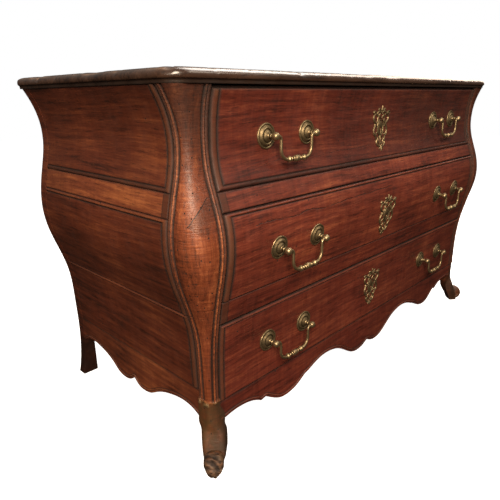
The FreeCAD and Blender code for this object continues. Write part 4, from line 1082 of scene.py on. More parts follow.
class CHEST_OT_slab(bpy.types.Operator):
    """Build the worn slab with its moulded edge"""

    bl_idname = "chest.slab"
    bl_label = "Slab"

    def execute(self, context):
        corner = low("top_slab")
        places, outs = self.outline(corner, high("top_slab"))
        ends = len(places)
        spots = np.concatenate([places, np.zeros((ends, 1))], -1)
        chips = np.clip(stray(spots, *SLAB_CHIPS) - CHIP_START, 0, 1)
        worn = np.clip(stray(spots, *SLAB_DENTS) + stray(spots, *SLAB_NIBBLES), 0, 1) + chips
        worn = np.minimum(worn, MOST_WEAR) * context.scene.chest_sizes.slab_wear
        worn *= 1 + (SLAB_LEFT_WEAR - 1) * np.clip(-outs[:, 0], 0, 1)
        patches = np.clip(PALE_MIDDLE + stray(spots, *SLAB_PATCHES), 0, 1)
        rings, waxes, pale = [], [], []
        for inset, rise, wax in NOSING:
            drop = worn * ramp(rise, *WORN_RISES) * ramp(inset, SLAB_WEAR_REACH, 0)
            inward = inset * MM + drop * INWARD_WEAR
            level = corner.z + rise * MM - drop
            rings.append(np.concatenate([places - outs * inward[:, None], level[:, None]], -1))
            waxes.append(np.full(ends, wax))
            pale.append(PALE_SHARE * patches * bell(rise, SLAB_SHEEN_LINE, PALE_WIDTH))
        index = np.arange(len(rings) * ends).reshape(-1, ends)
        back = np.concatenate([index[:, 0], index[::-1, -1]])
        faces = [*grid_faces(len(rings), ends), index[0], index[-1], back]
        add_piece("top_slab_worn", np.concatenate(rings), faces, ["mahogany_top"], "carcase", ["top_slab"],
                  {"wax": np.concatenate(waxes), "bare": np.concatenate(pale)})
        return {"FINISHED"}

    @staticmethod
    def outline(corner, far):
        """Points round the slab from its back left to its back right corner, and the way out at each."""
        left, right, front, back = corner.x, far.x, corner.y, far.y
        near, inner_left, inner_right = front + SLAB_CORNER, left + SLAB_CORNER, right - SLAB_CORNER
        runs = (((left, back), (left, near), (-1, 0)), ((inner_left, front), (inner_right, front), (0, -1)),
                ((right, near), (right, back), (1, 0)))
        centres = ((inner_left, near), (inner_right, near))
        places, outs = [], []
        for number, (start, end, out) in enumerate(runs):
            start, way = np.array(start), np.subtract(end, start)
            count = max(2, round(np.linalg.norm(way) / SLAB_STEP))
            places += [start + way * k / count for k in range(count)]
            outs += [out] * count
            for centre in centres[number:number + 1]:
                angles = math.pi + QUARTER * (number + np.arange(SLAB_ARC_STEPS) / SLAB_ARC_STEPS)
                turned_out = np.stack([np.cos(angles), np.sin(angles)], -1)
                places += list(centre + turned_out * SLAB_CORNER)
                outs += list(turned_out)
        return np.array([*places, runs[-1][1]]), np.array([*outs, runs[-1][2]], float)


# Front stile and leg. A pair of heights or places is where something has not started and where it is full.
STILE_SPANS = [
    (0.0, 60 * MM, 31), (63 * MM, 148 * MM, 30), (150 * MM, 166 * MM, 13), (171 * MM, BODY_TOP, 90),
]
STILE_FIELD_STEPS, LEG_SMOOTHINGS = 25, 40
REED_BAND, FRONT_BAND = (10, 8), 0.6
REED_FADE = (REED_FOOT + 4 * MM, REED_FOOT - 6 * MM)
# Heights under the leg's top over which it takes over from the stile and grows full.
LEG_BLEND, LEG_FILL = 34 * MM, 68 * MM
COLLAR, COLLAR_WIDTH, COLLAR_LIFT, COLLAR_SHINE = REED_FOOT - 1 * MM, 3.4 * MM, 1.4 * MM, 4 * MM
# Noises of the foot's pits, of the shiny lumps at the reeds' foot and of the hand-planed skin: size,
# strength and seed.
BROAD_PITS, FINE_PITS, LUMPS = (0.0085, 1.0, 11), (0.0040, 0.6, 13), (0.010, 2.6, 21)
SWAY_SIZE, SWAY, SWAY_SEED = 0.06, 1.4, 2
EATEN_HEIGHTS, ROT_TOP, ROT_TAPER = (40 * MM, 18 * MM), 26 * MM, 0.4
LUMP_HEIGHT, LUMP_SPREAD, LUMP_LIFT = REED_FOOT - 6 * MM, 9 * MM, 2.6 * MM
# The shiny lumps are painted pale as highlights: from this much of their noise, and at most this much.
LUMP_SHEEN, LUMP_SHEEN_MOST = 0.35, 0.5
# The left stile is the one that light and damp have aged. These are the shares for the right one, whose last
# share darkens all of the right stile evenly.
RIGHT_AGE, RIGHT_TOE_WEAR, RIGHT_DARKENING = 0.3, 0.4, 0.5
# Marks on the stile: the rubbed reed, lighter as wear and as a painted highlight, the painted highlight on
# the ridge, painted shade at the top and on the leg, dirt, varnish and bare wood.
BRIGHT_WIDTH, BRIGHT_SHARE = 2.2, 0.5
RIDGE_HIGHLIGHT, RIDGE_HEIGHT, RIDGE_SPREAD, RIDGE_PLACE, RIDGE_WIDTH = 0.35, 560 * MM, 95 * MM, 0.53, 0.10
TOP_SHADE, TOP_SHADE_HEIGHTS = 0.68, (630 * MM, 740 * MM)
LEG_SHADE, LEG_SHADE_FALL, LEG_SHADE_MOST = 0.72, 1.5, 0.75
FOOT_SHADE, FOOT_SHADE_HEIGHTS = 0.55, (100 * MM, 40 * MM)
PIT_DIRT, VARNISH, VARNISH_AGE = 1.6, 0.92, 0.7
BARE_SHARE, BARE_HEIGHTS, TOE_BARE_SHARE, TOE_BARE_HEIGHTS = 0.9, (20 * MM, 6 * MM), 0.70, (46 * MM, 12 * MM)
# Curled toe: its cheeks, the spiral cut in them, the spread and wear of the barrel and the dirt on it.
TOE_SEGMENTS, TOE_CHEEK = 64, [0.10, 0.15, 0.20, 0.25, 0.30, 0.35, 0.40, 0.45, 0.49]
SPIRAL_TURNS, SPIRAL_DEPTH, SPIRAL_EYE = 3.6, 2.2 * MM, 0.3
TOE_SPREAD_TURN, TOE_SPREAD_POWER, TOE_TAPER = math.pi / 4, 3, 0.5
TOE_PITS, TOE_FINE_PITS, TOE_FINE_SHARE = 0.0110, 0.0048, 0.5
TOE_WEAR_TURN, TOE_WEAR_SPAN, TOE_WEAR, SOUND_TOE_WEAR = 0.5, (-0.3, 0.1), 3.6, 0.6
TOE_DIRT, SOUND_TOE_DIRT, PITTED_DIRT, PITTED_START = 0.15, 0.3, 3.4, 0.7


class CHEST_OT_stiles(bpy.types.Operator):
    """Build the reeded front stiles with their legs and scrolled feet"""

    bl_idname = "chest.stiles"
    bl_label = "Front stiles"

    def execute(self, context):
        for side, sign in SIDES:
            self.build(side, sign, context.scene.chest_sizes)
        return {"FINISHED"}

    @staticmethod
    def post_ring(height):
        """The stile's skin in plan from the drawer edge to the side panel, with its way out and trim."""
        face, side = float(FRONT(height)), float(SIDE(height))
        radius = min(side - OPENING, STILE_DEPTH + DATUM - face) * CORNER_SHARE
        straight, bend = side - radius - OPENING, radius * QUARTER
        whole = straight + bend + STILE_BACK - face - radius
        reeds, heights, wax = (column(REEDS, place) for place in range(3))
        field = np.linspace(reeds[-1] * MM, whole - reeds[-1] * MM, STILE_FIELD_STEPS)[1:-1]
        plain = np.zeros(len(field))
        offsets = np.concatenate([reeds * MM, field, (whole - reeds * MM)[::-1]])
        relief = np.concatenate([heights, plain, heights[::-1]]) * MM
        dull = ramp(reeds, *REED_BAND)
        turn = np.clip((offsets - straight) / bend, 0, 1) * QUARTER
        outs = np.stack([np.sin(turn), -np.cos(turn)], -1)
        xs = OPENING + np.minimum(offsets, straight) + radius * np.sin(turn)
        ys = face + radius * (1 - np.cos(turn)) + np.maximum(offsets - straight - bend, 0)
        return (np.stack([xs, ys], -1), outs, relief, np.concatenate([wax, plain, wax[::-1]]),
                np.concatenate([dull * FRONT_BAND, plain, dull[::-1]]))

    @staticmethod
    def leg_ring(height, count):
        """Plan points of the leg at a height, as many as the stile's skin has, and its inner corner."""
        shares = [share for share, _ in LEG_SECTIONS]
        spots = []
        for place in range(len(LEG_SECTIONS[0][1])):
            runs = [[corners[place][axis] for _, corners in LEG_SECTIONS] for axis in (0, 1)]
            outward, sideways = (spline(shares, run)(height / LEG_TOP) * DIAGONAL * MM for run in runs)
            spots.append((WAIST + outward + sideways, DATUM - LEG_CORNER_OUT + sideways - outward))
        rim = np.array(spots[:-1], float)
        lengths = run_lengths(rim)
        where = np.linspace(0, lengths[-1], count)
        ring = np.stack([np.interp(where, lengths, rim[:, axis]) for axis in (0, 1)], -1)
        for _ in range(LEG_SMOOTHINGS):
            ring[1:-1] = (ring[:-2] + 2 * ring[1:-1] + ring[2:]) / 4
        middle, lower = ring.mean(axis=0), ramp(height, LEG_TOP, LEG_TOP - LEG_FILL)
        full = middle + (ring - middle) * (1 + LEG_FULLNESS * lower)
        return full - DIAGONAL * LEG_LEAN * lower, np.array(spots[-1])

    def skin_ring(self, height):
        """The skin at a height, where the stile turns into its leg, with its inner corner, trim and knee."""
        ring, outs, *trim = self.post_ring(height)
        inner = np.array([OPENING, STILE_BACK])
        knee = eased(ramp(height, KNEE_TOP, KNEE_TOP - KNEE_RISE))
        knee = knee * ramp(ring[:, 0], OPENING + KNEE_FADE, OPENING)
        ring[:, 0] -= knee * KNEE_SPREAD
        if height <= LEG_TOP:
            leg, corner = self.leg_ring(height, len(ring))
            blend = eased(ramp(height, LEG_TOP, LEG_TOP - LEG_BLEND))
            ring = ring * (1 - blend) + leg * blend
            inner = inner * (1 - blend) + corner * blend
            ways = np.gradient(ring, axis=0)
            leg_outs = unit(np.stack([ways[:, 1], -ways[:, 0]], -1))
            outs = unit(outs * (1 - blend) + leg_outs * blend)
        return ring, outs, inner, trim, knee

    @staticmethod
    def age(height, trim, pits, lumps, aged, toe):
        """Marks round the skin at a height: wear, dirt and varnish, with painted shade and painted
        highlights.
        """
        _, wax, band = trim
        count = len(wax)
        legged = ramp(height, *REED_FADE)
        reeded = 1 - eased(legged)
        around, steps = np.linspace(0, 1, count), np.arange(count)
        offsets = np.interp(np.minimum(steps, steps[::-1]), range(len(REEDS)), column(REEDS, 0))
        # The bright reed is lighter as rubbed wear and as a painted highlight.
        bright = bell(offsets, BRIGHT_REED, BRIGHT_WIDTH) * reeded * BRIGHT_SHARE
        # A painted highlight on the ridge of the face, where the lamp shines back from it.
        ridge = RIDGE_HIGHLIGHT * bell(height, RIDGE_HEIGHT, RIDGE_SPREAD)
        ridge = ridge * bell(around, RIDGE_PLACE, RIDGE_WIDTH)
        deep = FOOT_SHADE * ramp(height, *FOOT_SHADE_HEIGHTS)
        shadow = legged * np.clip(LEG_SHADE - LEG_SHADE_FALL * around + deep, 0, LEG_SHADE_MOST)
        hollows = np.clip(pits * PIT_DIRT, 0, 1) * toe
        # Besides wax and pits, this darkening is painted shade at the top of the stile and on the leg.
        dirt = most(wax * reeded, TOP_SHADE * ramp(height, *TOP_SHADE_HEIGHTS), shadow, hollows)
        # Bare wood at the foot, and the shiny lumps painted pale as highlights.
        bare = most(BARE_SHARE * ramp(height, *BARE_HEIGHTS), np.clip(lumps - LUMP_SHEEN, 0, LUMP_SHEEN_MOST))
        # Lighter: the rubbed reed, and painted highlights on the ridge, the collar and the shiny lumps.
        return {
            "wax": dirt * aged + (1 - aged) * RIGHT_DARKENING, "band": band * reeded * aged,
            "rubbed": most(bright, ridge, bell(height, COLLAR, COLLAR_SHINE), lumps) * aged,
            "olive": np.full(count, VARNISH * legged * (1 - VARNISH_AGE * (1 - aged))), "bare": bare * aged,
            "gloss": lumps * aged,
        }

    def build(self, side, sign, sizes):
        aged, toe = (1.0, 1.0) if sign < 0 else (RIGHT_AGE, RIGHT_TOE_WEAR)
        rings, looks = [], []
        for height in np.concatenate([np.linspace(*span) for span in STILE_SPANS]):
            ring, outs, inner, trim, knee = self.skin_ring(height)
            count = len(ring)
            reeded = 1 - eased(ramp(height, *REED_FADE))
            lift = trim[0] * reeded + COLLAR_LIFT * bell(height, COLLAR, COLLAR_WIDTH) + knee * KNEE_LIFT
            solid = np.concatenate([ring + outs * lift[:, None], np.full((count, 1), height)], -1)
            if sign < 0:
                solid[:, :2] += (ring.mean(axis=0) - solid[:, :2]) * ROT_TAPER * ramp(height, ROT_TOP, 0)
            pits = np.zeros(count)
            eaten = ramp(height, *EATEN_HEIGHTS)
            if eaten:
                pits = (np.abs(stray(solid, *BROAD_PITS)) + np.abs(stray(solid, *FINE_PITS))) * eaten
                solid[:, :2] -= outs * (pits * sizes.foot_wear * toe)[:, None]
            lumps = np.clip(stray(solid, *LUMPS), 0, 1) * bell(height, LUMP_HEIGHT, LUMP_SPREAD)
            solid[:, :2] += outs * (lumps * LUMP_LIFT * aged)[:, None]
            solid[:, :2] += outs * stray(solid, SWAY_SIZE, sizes.waviness * SWAY, SWAY_SEED)[:, None]
            solid[:, 0] *= sign
            rings.append(np.concatenate([solid, [[sign * inner[0], inner[1], height]]]))
            looks.append(self.age(height, trim, pits, lumps, aged, toe))
        toe_points, toe_faces, toe_dirt = self.scroll(sign, sizes.foot_wear)
        toe_heights = np.array([point[2] for point in toe_points])
        none = np.zeros(len(toe_points))
        toe_look = {
            "wax": np.clip(toe_dirt, 0, 1), "olive": none + VARNISH * aged,
            "bare": ramp(toe_heights, *TOE_BARE_HEIGHTS) * TOE_BARE_SHARE * aged,
        }
        layers = {}
        for mark in looks[0]:
            rows = [np.append(look[mark], 0.0) for look in looks]
            layers[mark] = np.concatenate([*rows, toe_look.get(mark, none)])
        leg = (np.concatenate(rings), ring_faces(len(rings), len(rings[0])))
        add_piece(f"stile_front_{side}_reeded", *gathered([leg, (toe_points, toe_faces)]), ["mahogany_stile"],
                  "carcase", [f"stile_front_{side}"], layers)

    @staticmethod
    def scroll(sign, wear):
        """The curled toe: a barrel across the diagonal with a spiral in each cheek and an eaten front."""
        axis = Vector((sign * DIAGONAL, DIAGONAL, 0.0))
        outward = Vector((sign * DIAGONAL, -DIAGONAL, 0.0))
        centre = Vector((sign * WAIST, DATUM - LEG_CORNER_OUT, SCROLL_RADIUS + SCROLL_RISE))
        rotten = sign < 0
        spread, slide = (TOE_SPREAD, TOE_SLIDE) if rotten else (0.0, 0.0)
        centre += outward * (SCROLL_REACH + slide) - axis * LEG_LEAN
        barrel = SCROLL_BARREL + [(-place, reach) for place, reach in reversed(SCROLL_BARREL[:-1])]
        rings = [(-1.0, reach, True) for reach in TOE_CHEEK]
        rings += [(place, reach, False) for place, reach in barrel]
        rings += [(1.0, reach, True) for reach in reversed(TOE_CHEEK)]
        points, dirt = [], []
        for place, reach, carved in rings:
            for k in range(TOE_SEGMENTS):
                angle = 2 * math.pi * k / TOE_SEGMENTS
                along = place * SCROLL_LENGTH / 2
                grime = TOE_DIRT
                bulge = max(0.0, math.cos(angle + TOE_SPREAD_TURN)) ** TOE_SPREAD_POWER
                radius = SCROLL_RADIUS * reach * (1 + spread * bulge)
                if carved:
                    turn = 2 * math.pi * reach * SPIRAL_TURNS + angle
                    along -= place * SPIRAL_DEPTH * (1 + math.cos(turn)) / 2 * min(1, reach / SPIRAL_EYE)
                spot = centre + axis * along + outward * (radius * math.cos(angle))
                spot.z += radius * math.sin(angle)
                if not carved:
                    fine = TOE_FINE_SHARE * abs(noise.noise(spot / TOE_FINE_PITS))
                    pits = abs(noise.noise(spot / TOE_PITS)) + fine
                    pits *= float(ramp(math.cos(angle - TOE_WEAR_TURN), *TOE_WEAR_SPAN))
                    inward = (centre + axis * along - spot).normalized()
                    spot += inward * (pits * wear * (TOE_WEAR if rotten else SOUND_TOE_WEAR))
                    grime += pits * PITTED_DIRT - PITTED_START if rotten else SOUND_TOE_DIRT
                spot.z = max(spot.z, 0.0)
                if rotten:
                    taper = TOE_TAPER * max(0.0, 1 - spot.z / ROT_TOP)
                    spot -= axis * (taper * (spot - centre).dot(axis))
                points.append(tuple(spot))
                dirt.append(grime)
        return points, ring_faces(len(rings), TOE_SEGMENTS), np.array(dirt)


# Spacing of the boards' grids along and up, their planing noise, and how strongly their marks show.
SIDE_GRID, RAIL_GRID, FRONT_GRID = (12 * MM, 7 * MM), (16 * MM, 5 * MM), (14 * MM, 6 * MM)
PLANE_SIZE, FRONT_PLANE_SIZE, SIDE_SEED, RAIL_SEED, FRONT_SEED = 0.09, 0.10, 4, 6, 8
SIDE_THICKNESS, LOWER_PANEL_BEAD = 18 * MM, 0.75
SIDE_RUB, SIDE_APRON_RUB, APRON_RUB, FRONT_RUB, SIDE_RAIL_RUB = 0.8, 0.45, 0.5, 0.6, 0.9
END_BAND, END_SEAM, END_EDGE, SEAM_WIDTH = 0.9, 0.8, 0.5 * MM, 1.2 * MM
# Aprons: steps along a share of the length and up to the top, the steepest slope that the fillet follows,
# the rounding and wax of the upper edge, and the width and tint of the fillet's crest.
SCALLOP_STEPS, SCALLOP_LEAST, APRON_ROWS, STEEPEST, NEAR = 90, 8, 15, 0.45, 1e-9
APRON_ARRIS, APRON_WAX_REACH, CREST_WIDTH, CREST_BAND = 1.0 * MM, 4 * MM, 1.8, 0.3


def end_marks(past):
    """The dull end of a rail and the dark seam before it, from the distance past the line of the seam."""
    return ramp(past, -END_EDGE, END_EDGE), bell(past, 0, SEAM_WIDTH) * END_SEAM


class CHEST_OT_side_panels(bpy.types.Operator):
    """Build the moulded side panels, the side rails and the scalloped side aprons"""

    bl_idname = "chest.side_panels"
    bl_label = "Sides"

    def execute(self, context):
        sizes = context.scene.chest_sizes
        bead, level = sizes.side_bead, sizes.rail_bead
        # moulding widths at the front, the back, the foot and the top of each board
        boards = {
            "side_panel_upper": (bead, 0, level, 0), "side_rail": (0, 0, 0, 0),
            "side_panel_middle": (bead, 0, 0, level),
            "side_panel_lower": (bead, 0, 0, level * LOWER_PANEL_BEAD),
        }
        for side, sign in SIDES:
            for name, widths in boards.items():
                node = f"{name}_{side}"
                ys = ruled(STILE_BACK, BACK_STILE_FRONT, bead, widths[1], SIDE_GRID[0])
                zs = ruled(low(node).z, high(node).z, *widths[2:], SIDE_GRID[1])
                us, vs = np.meshgrid(ys, zs)
                relief, wax, band, crown = moulded(us, vs, widths)
                if name == "side_rail":
                    end, seam = end_marks(STILE_BACK + bead - us)
                    wax, band, crown = most(wax, seam), end * END_BAND, (1 - end) * SIDE_RAIL_RUB
                self.board(node, sign, (us, vs), (relief, wax, band, crown * SIDE_RUB), sizes)
            node, half = f"side_apron_{side}", (BACK_STILE_FRONT - STILE_BACK) / 2
            us, vs, *look, crown = scalloped(SIDE_SCALLOPS, half, high(node).z)
            look.append(most(crown, SIDE_APRON_RUB) * SIDE_RUB)
            self.board(node, sign, (us + STILE_BACK + half, vs), look, sizes)
        return {"FINISHED"}

    @staticmethod
    def board(node, sign, grid, look, sizes):
        def back(points):
            return points - (sign * SIDE_THICKNESS, 0.0, 0.0)

        planed = (PLANE_SIZE, sizes.waviness, SIDE_SEED)
        add_board(f"{node}_moulded", side_face(sign), grid, back, planed, look,
                  ["mahogany_side", "plain_wood_deep"], "carcase", [node])


def scalloped(half_runs, half_length, height):
    """A grid hung from a level top down to a scalloped edge, with the relief and wax of a fillet along it."""
    knots = [np.array(run, float) for run in half_runs]
    spans = [(run[0, 0], run[-1, 0]) for run in knots]
    counts = [max(SCALLOP_LEAST, round((end - start) * SCALLOP_STEPS)) for start, end in spans]
    shares = np.unique(np.concatenate([np.linspace(*span, count) for span, count in zip(spans, counts)]))
    edge = np.zeros_like(shares)
    for run, (start, end) in zip(knots, spans):
        inside = (shares >= start - NEAR) & (shares <= end + NEAR)
        edge[inside] = spline(run[:, 0], run[:, 1])(shares[inside])
    across = np.concatenate([-shares[:0:-1], shares]) * half_length
    edge = np.concatenate([edge[:0:-1], edge]) * height
    lean = np.cos(np.arctan(np.gradient(edge, across)))
    rises = column(APRON_BEAD, 0) * MM
    near = edge + rises[:, None] / np.maximum(lean, STEEPEST)
    rest = near[-1] + (height - near[-1]) * np.linspace(0, 1, APRON_ROWS)[1:, None]
    vs = np.concatenate([near, rest])
    us = np.tile(across, (len(vs), 1))
    off = np.concatenate([np.tile(rises[:, None], len(across)), np.maximum((rest - edge) * lean, rises[-1])])
    relief = np.interp(off, rises, column(APRON_BEAD, 1)) * MM
    relief -= APRON_ARRIS * ramp(height - vs, ARRIS_REACH, 0) ** 2
    wax = most(np.interp(off, rises, column(APRON_BEAD, 2)),
               ARRIS_WAX * ramp(height - vs, APRON_WAX_REACH, 0))
    crown = bell(off / MM, APRON_CREST, CREST_WIDTH)
    return us, vs, relief, wax, crown * CREST_BAND, crown


def flat_back(depth):
    """The back of a board behind the front's skin, flat at one depth."""

    def back(points):
        inner = points.copy()
        inner[..., 1] = depth
        return inner

    return back


class CHEST_OT_front_rails(bpy.types.Operator):
    """Build the front rails and the scalloped front apron"""

    bl_idname = "chest.front_rails"
    bl_label = "Front rails and apron"

    def execute(self, context):
        sizes = context.scene.chest_sizes
        bead = sizes.side_bead
        for node, rub in RAIL_RUB.items():
            us, vs = np.meshgrid(ruled(-OPENING, OPENING, bead, bead, RAIL_GRID[0]),
                                 ruled(low(node).z, high(node).z, 0, 0, RAIL_GRID[1]))
            relief, wax, *_ = moulded(us, vs, (0, 0, 0, 0))
            end, seam = end_marks(np.abs(us) - OPENING + bead)
            self.board(node, (us, vs), (relief, most(wax, seam), end * END_BAND, (1 - end) * rub), sizes)
        us, vs, *look, crown = scalloped(FRONT_SCALLOPS, OPENING, high("front_apron").z)
        self.board("front_apron", (us, vs), (*look, crown * APRON_RUB), sizes)
        return {"FINISHED"}

    @staticmethod
    def board(node, grid, look, sizes):
        planed = (PLANE_SIZE, sizes.waviness, RAIL_SEED)
        add_board(f"{node}_shaped", front_face, grid, flat_back(high(node).y), planed, look,
                  ["mahogany_front", "plain_wood"], "carcase", [node])


STILE_BEVEL, BOARD_BEVEL, LOCK_BEVEL = 1.5 * MM, 0.7 * MM, 0.8 * MM
WELD_DISTANCE, BEVEL_SEGMENTS, BEVEL_ANGLE = 0.01 * MM, 2, math.radians(50)


class CHEST_OT_back_stiles(bpy.types.Operator):
    """Finish the back stiles that run down to the floor"""

    bl_idname = "chest.back_stiles"
    bl_label = "Back stiles"

    def execute(self, context):
        for side, _ in SIDES:
            finish_node(f"stile_back_{side}", "mahogany_side", STILE_BEVEL)
        return {"FINISHED"}


def finish_node(node, finish, bevel):
    """Give a carried-over piece its finish and slightly rounded edges."""
    piece = NODES[node]
    piece.data.materials.clear()
    piece.data.materials.append(FINISHES[finish])
    weld = piece.modifiers.new("weld", "WELD")
    weld.merge_threshold = WELD_DISTANCE
    rounding = piece.modifiers.new("rounding", "BEVEL")
    rounding.width = bevel
    rounding.segments = BEVEL_SEGMENTS
    rounding.limit_method = "ANGLE"
    rounding.angle_limit = BEVEL_ANGLE
    rounding.harden_normals = True


class CHEST_OT_inside(bpy.types.Operator):
    """Finish the boards inside the carcase and the drawers, and the locks"""

    bl_idname = "chest.inside"
    bl_label = "Inside boards and locks"

    def execute(self, context):
        for node in PLAIN_NODES:
            deep = "side" in node or "guide" in node
            finish_node(node, "plain_wood_deep" if deep else "plain_wood", BOARD_BEVEL)
        for drawer in DRAWERS:
            finish_node(f"lock_{drawer}", "lock_iron", LOCK_BEVEL)
        return {"FINISHED"}


# Drawers.

# Moulding widths as shares, the gap at the ends of a front, the rows of its rebate, where its painted shade
# starts and is full as shares of the half opening, and how far the keyhole tool stands out before and
# behind.
TOP_BEAD, SIDE_BEAD, LOWER_SIDE_BEAD, FRONT_SHY = 0.8, 1.1, 0.8, 0.2 * MM
REBATE_EDGE, REBATE_ROWS, PAINTED_SHADE_SPAN, TOOL_BEFORE, TOOL_BEHIND = 0.4 * MM, 3, (-0.7, 0.3), 20 * MM, 5 * MM
KEYHOLE_POINTS, SHIELD_KEYHOLE, TINY = 72, 1.12, 1e-6


def handle_pivot(drawer):
    """Place of a drawer's left handle pivot, from the frame's own joints."""
    name = f"bail_{drawer}_left_swing"
    joint = next(joint for joint in frame["joints"] if joint["name"] == name)
    return Vector(joint["pos_m"])


def plate_height(drawer):
    node = f"keyhole_plate_{drawer}"
    return (low(node).z + high(node).z) / 2


def keyhole_outline(scale=1.0):
    """Points of the keyhole's outline about its eye."""
    spots = []
    for k in range(KEYHOLE_POINTS):
        angle = 2 * math.pi * k / KEYHOLE_POINTS
        down, across = -math.cos(angle), math.sin(angle)
        reach = KEYHOLE_RADIUS
        if down < 0:
            slot = KEYHOLE_SLOT / max(abs(across), TINY)
            reach = max(reach, min(slot, KEYHOLE_DROP / -down))
        spots.append((across * reach * scale * MM, down * reach * scale * MM))
    return spots


class CHEST_OT_drawer_fronts(bpy.types.Operator):
    """Build the moulded drawer fronts with their keyholes"""

    bl_idname = "chest.drawer_fronts"
    bl_label = "Drawer fronts"

    def execute(self, context):
        sizes = context.scene.chest_sizes
        for drawer in DRAWERS:
            node = f"drawer_{drawer}_front"
            start, end = low(node), high(node)
            foot, top = (sizes.rail_bead, 0) if drawer == "upper" else (0, sizes.rail_bead * TOP_BEAD)
            wide = sizes.side_bead * (LOWER_SIDE_BEAD if drawer == "lower" else SIDE_BEAD)
            shadow_line = end.z - TOP_REBATES[drawer]
            xs = ruled(start.x + FRONT_SHY, end.x - FRONT_SHY, wide, wide, FRONT_GRID[0])
            zs = ruled(start.z, shadow_line, foot, top, FRONT_GRID[1])
            zs = np.append(zs, np.linspace(shadow_line + REBATE_EDGE, end.z, REBATE_ROWS))
            us, vs = np.meshgrid(xs, zs)
            relief, wax, band, crown = moulded(us, np.minimum(vs, shadow_line), (wide, wide, foot, top))
            sunk = vs > shadow_line + REBATE_EDGE / 2
            # Painted shade darkens each front towards its right, and painted light lightens the middle front
            # all over.
            darker, lighter = DRAWER_PAINTED_LIGHT[drawer]
            # Inside the rebate the front is sunk and painted fully dark, as painted shadow in the gap above
            # it.
            relief = np.where(sunk, -REBATE_DEPTH, relief)
            wax = np.where(sunk, 1.0, most(wax, darker * ramp(us / OPENING, *PAINTED_SHADE_SPAN)))
            crown = np.where(sunk, 0.0, most(crown, lighter))
            planed = (FRONT_PLANE_SIZE, sizes.waviness, FRONT_SEED)
            piece = add_board(f"{node}_moulded", front_face, (us, vs), flat_back(end.y), planed,
                              (relief, wax, band, crown * FRONT_RUB), ["mahogany_front", "plain_wood"],
                              f"drawer_{drawer}", [node])
            self.pierce(piece, plate_height(drawer), start.y - TOOL_BEFORE, end.y + TOOL_BEHIND)
        return {"FINISHED"}

    @staticmethod
    def pierce(piece, height, near, far):
        """Cut the keyhole through a drawer front."""
        points = [(x, depth, height + z) for depth in (near, far) for x, z in keyhole_outline()]
        mesh = bpy.data.meshes.new("keyhole_tool")
        mesh.from_pydata(points, [], ring_faces(2, KEYHOLE_POINTS))
        turn_outward(mesh)
        tool = bpy.data.objects.new("keyhole_tool", mesh)
        bpy.context.scene.collection.objects.link(tool)
        boring = piece.modifiers.new("keyhole", "BOOLEAN")
        boring.operation = "DIFFERENCE"
        boring.object = tool
        boring.solver = "EXACT"
        bpy.context.view_layer.update()
        graph = bpy.context.evaluated_depsgraph_get()
        cut_mesh = bpy.data.meshes.new_from_object(
            piece.evaluated_get(graph), preserve_all_data_layers=True, depsgraph=graph)
        piece.modifiers.remove(boring)
        piece.data = cut_mesh
        bpy.data.objects.remove(tool)


# Turned brass: segments round each kind, the height over which the front's lean is taken, the chamfer of the
# nuts, the steps of the bail's curves and how its radius thins along them, and the dirt on rosettes and
# plates.
ROSETTE_SEGMENTS, POST_SEGMENTS, NUT_SEGMENTS, BAIL_SEGMENTS, ROSETTE_REACH = 48, 32, 6, 20, 26 * MM
NUT_EDGE, NUT_FACE, BRASS_CREASE, ROSETTE_DIRT, PLATE_DIRT = 0.8, 0.86, 50, 0.2, 0.32
ELBOW_STEPS, ARM_STEPS, ELBOW_THINNING, ARM_THINNING = 12, 8, 0.03, 0.05


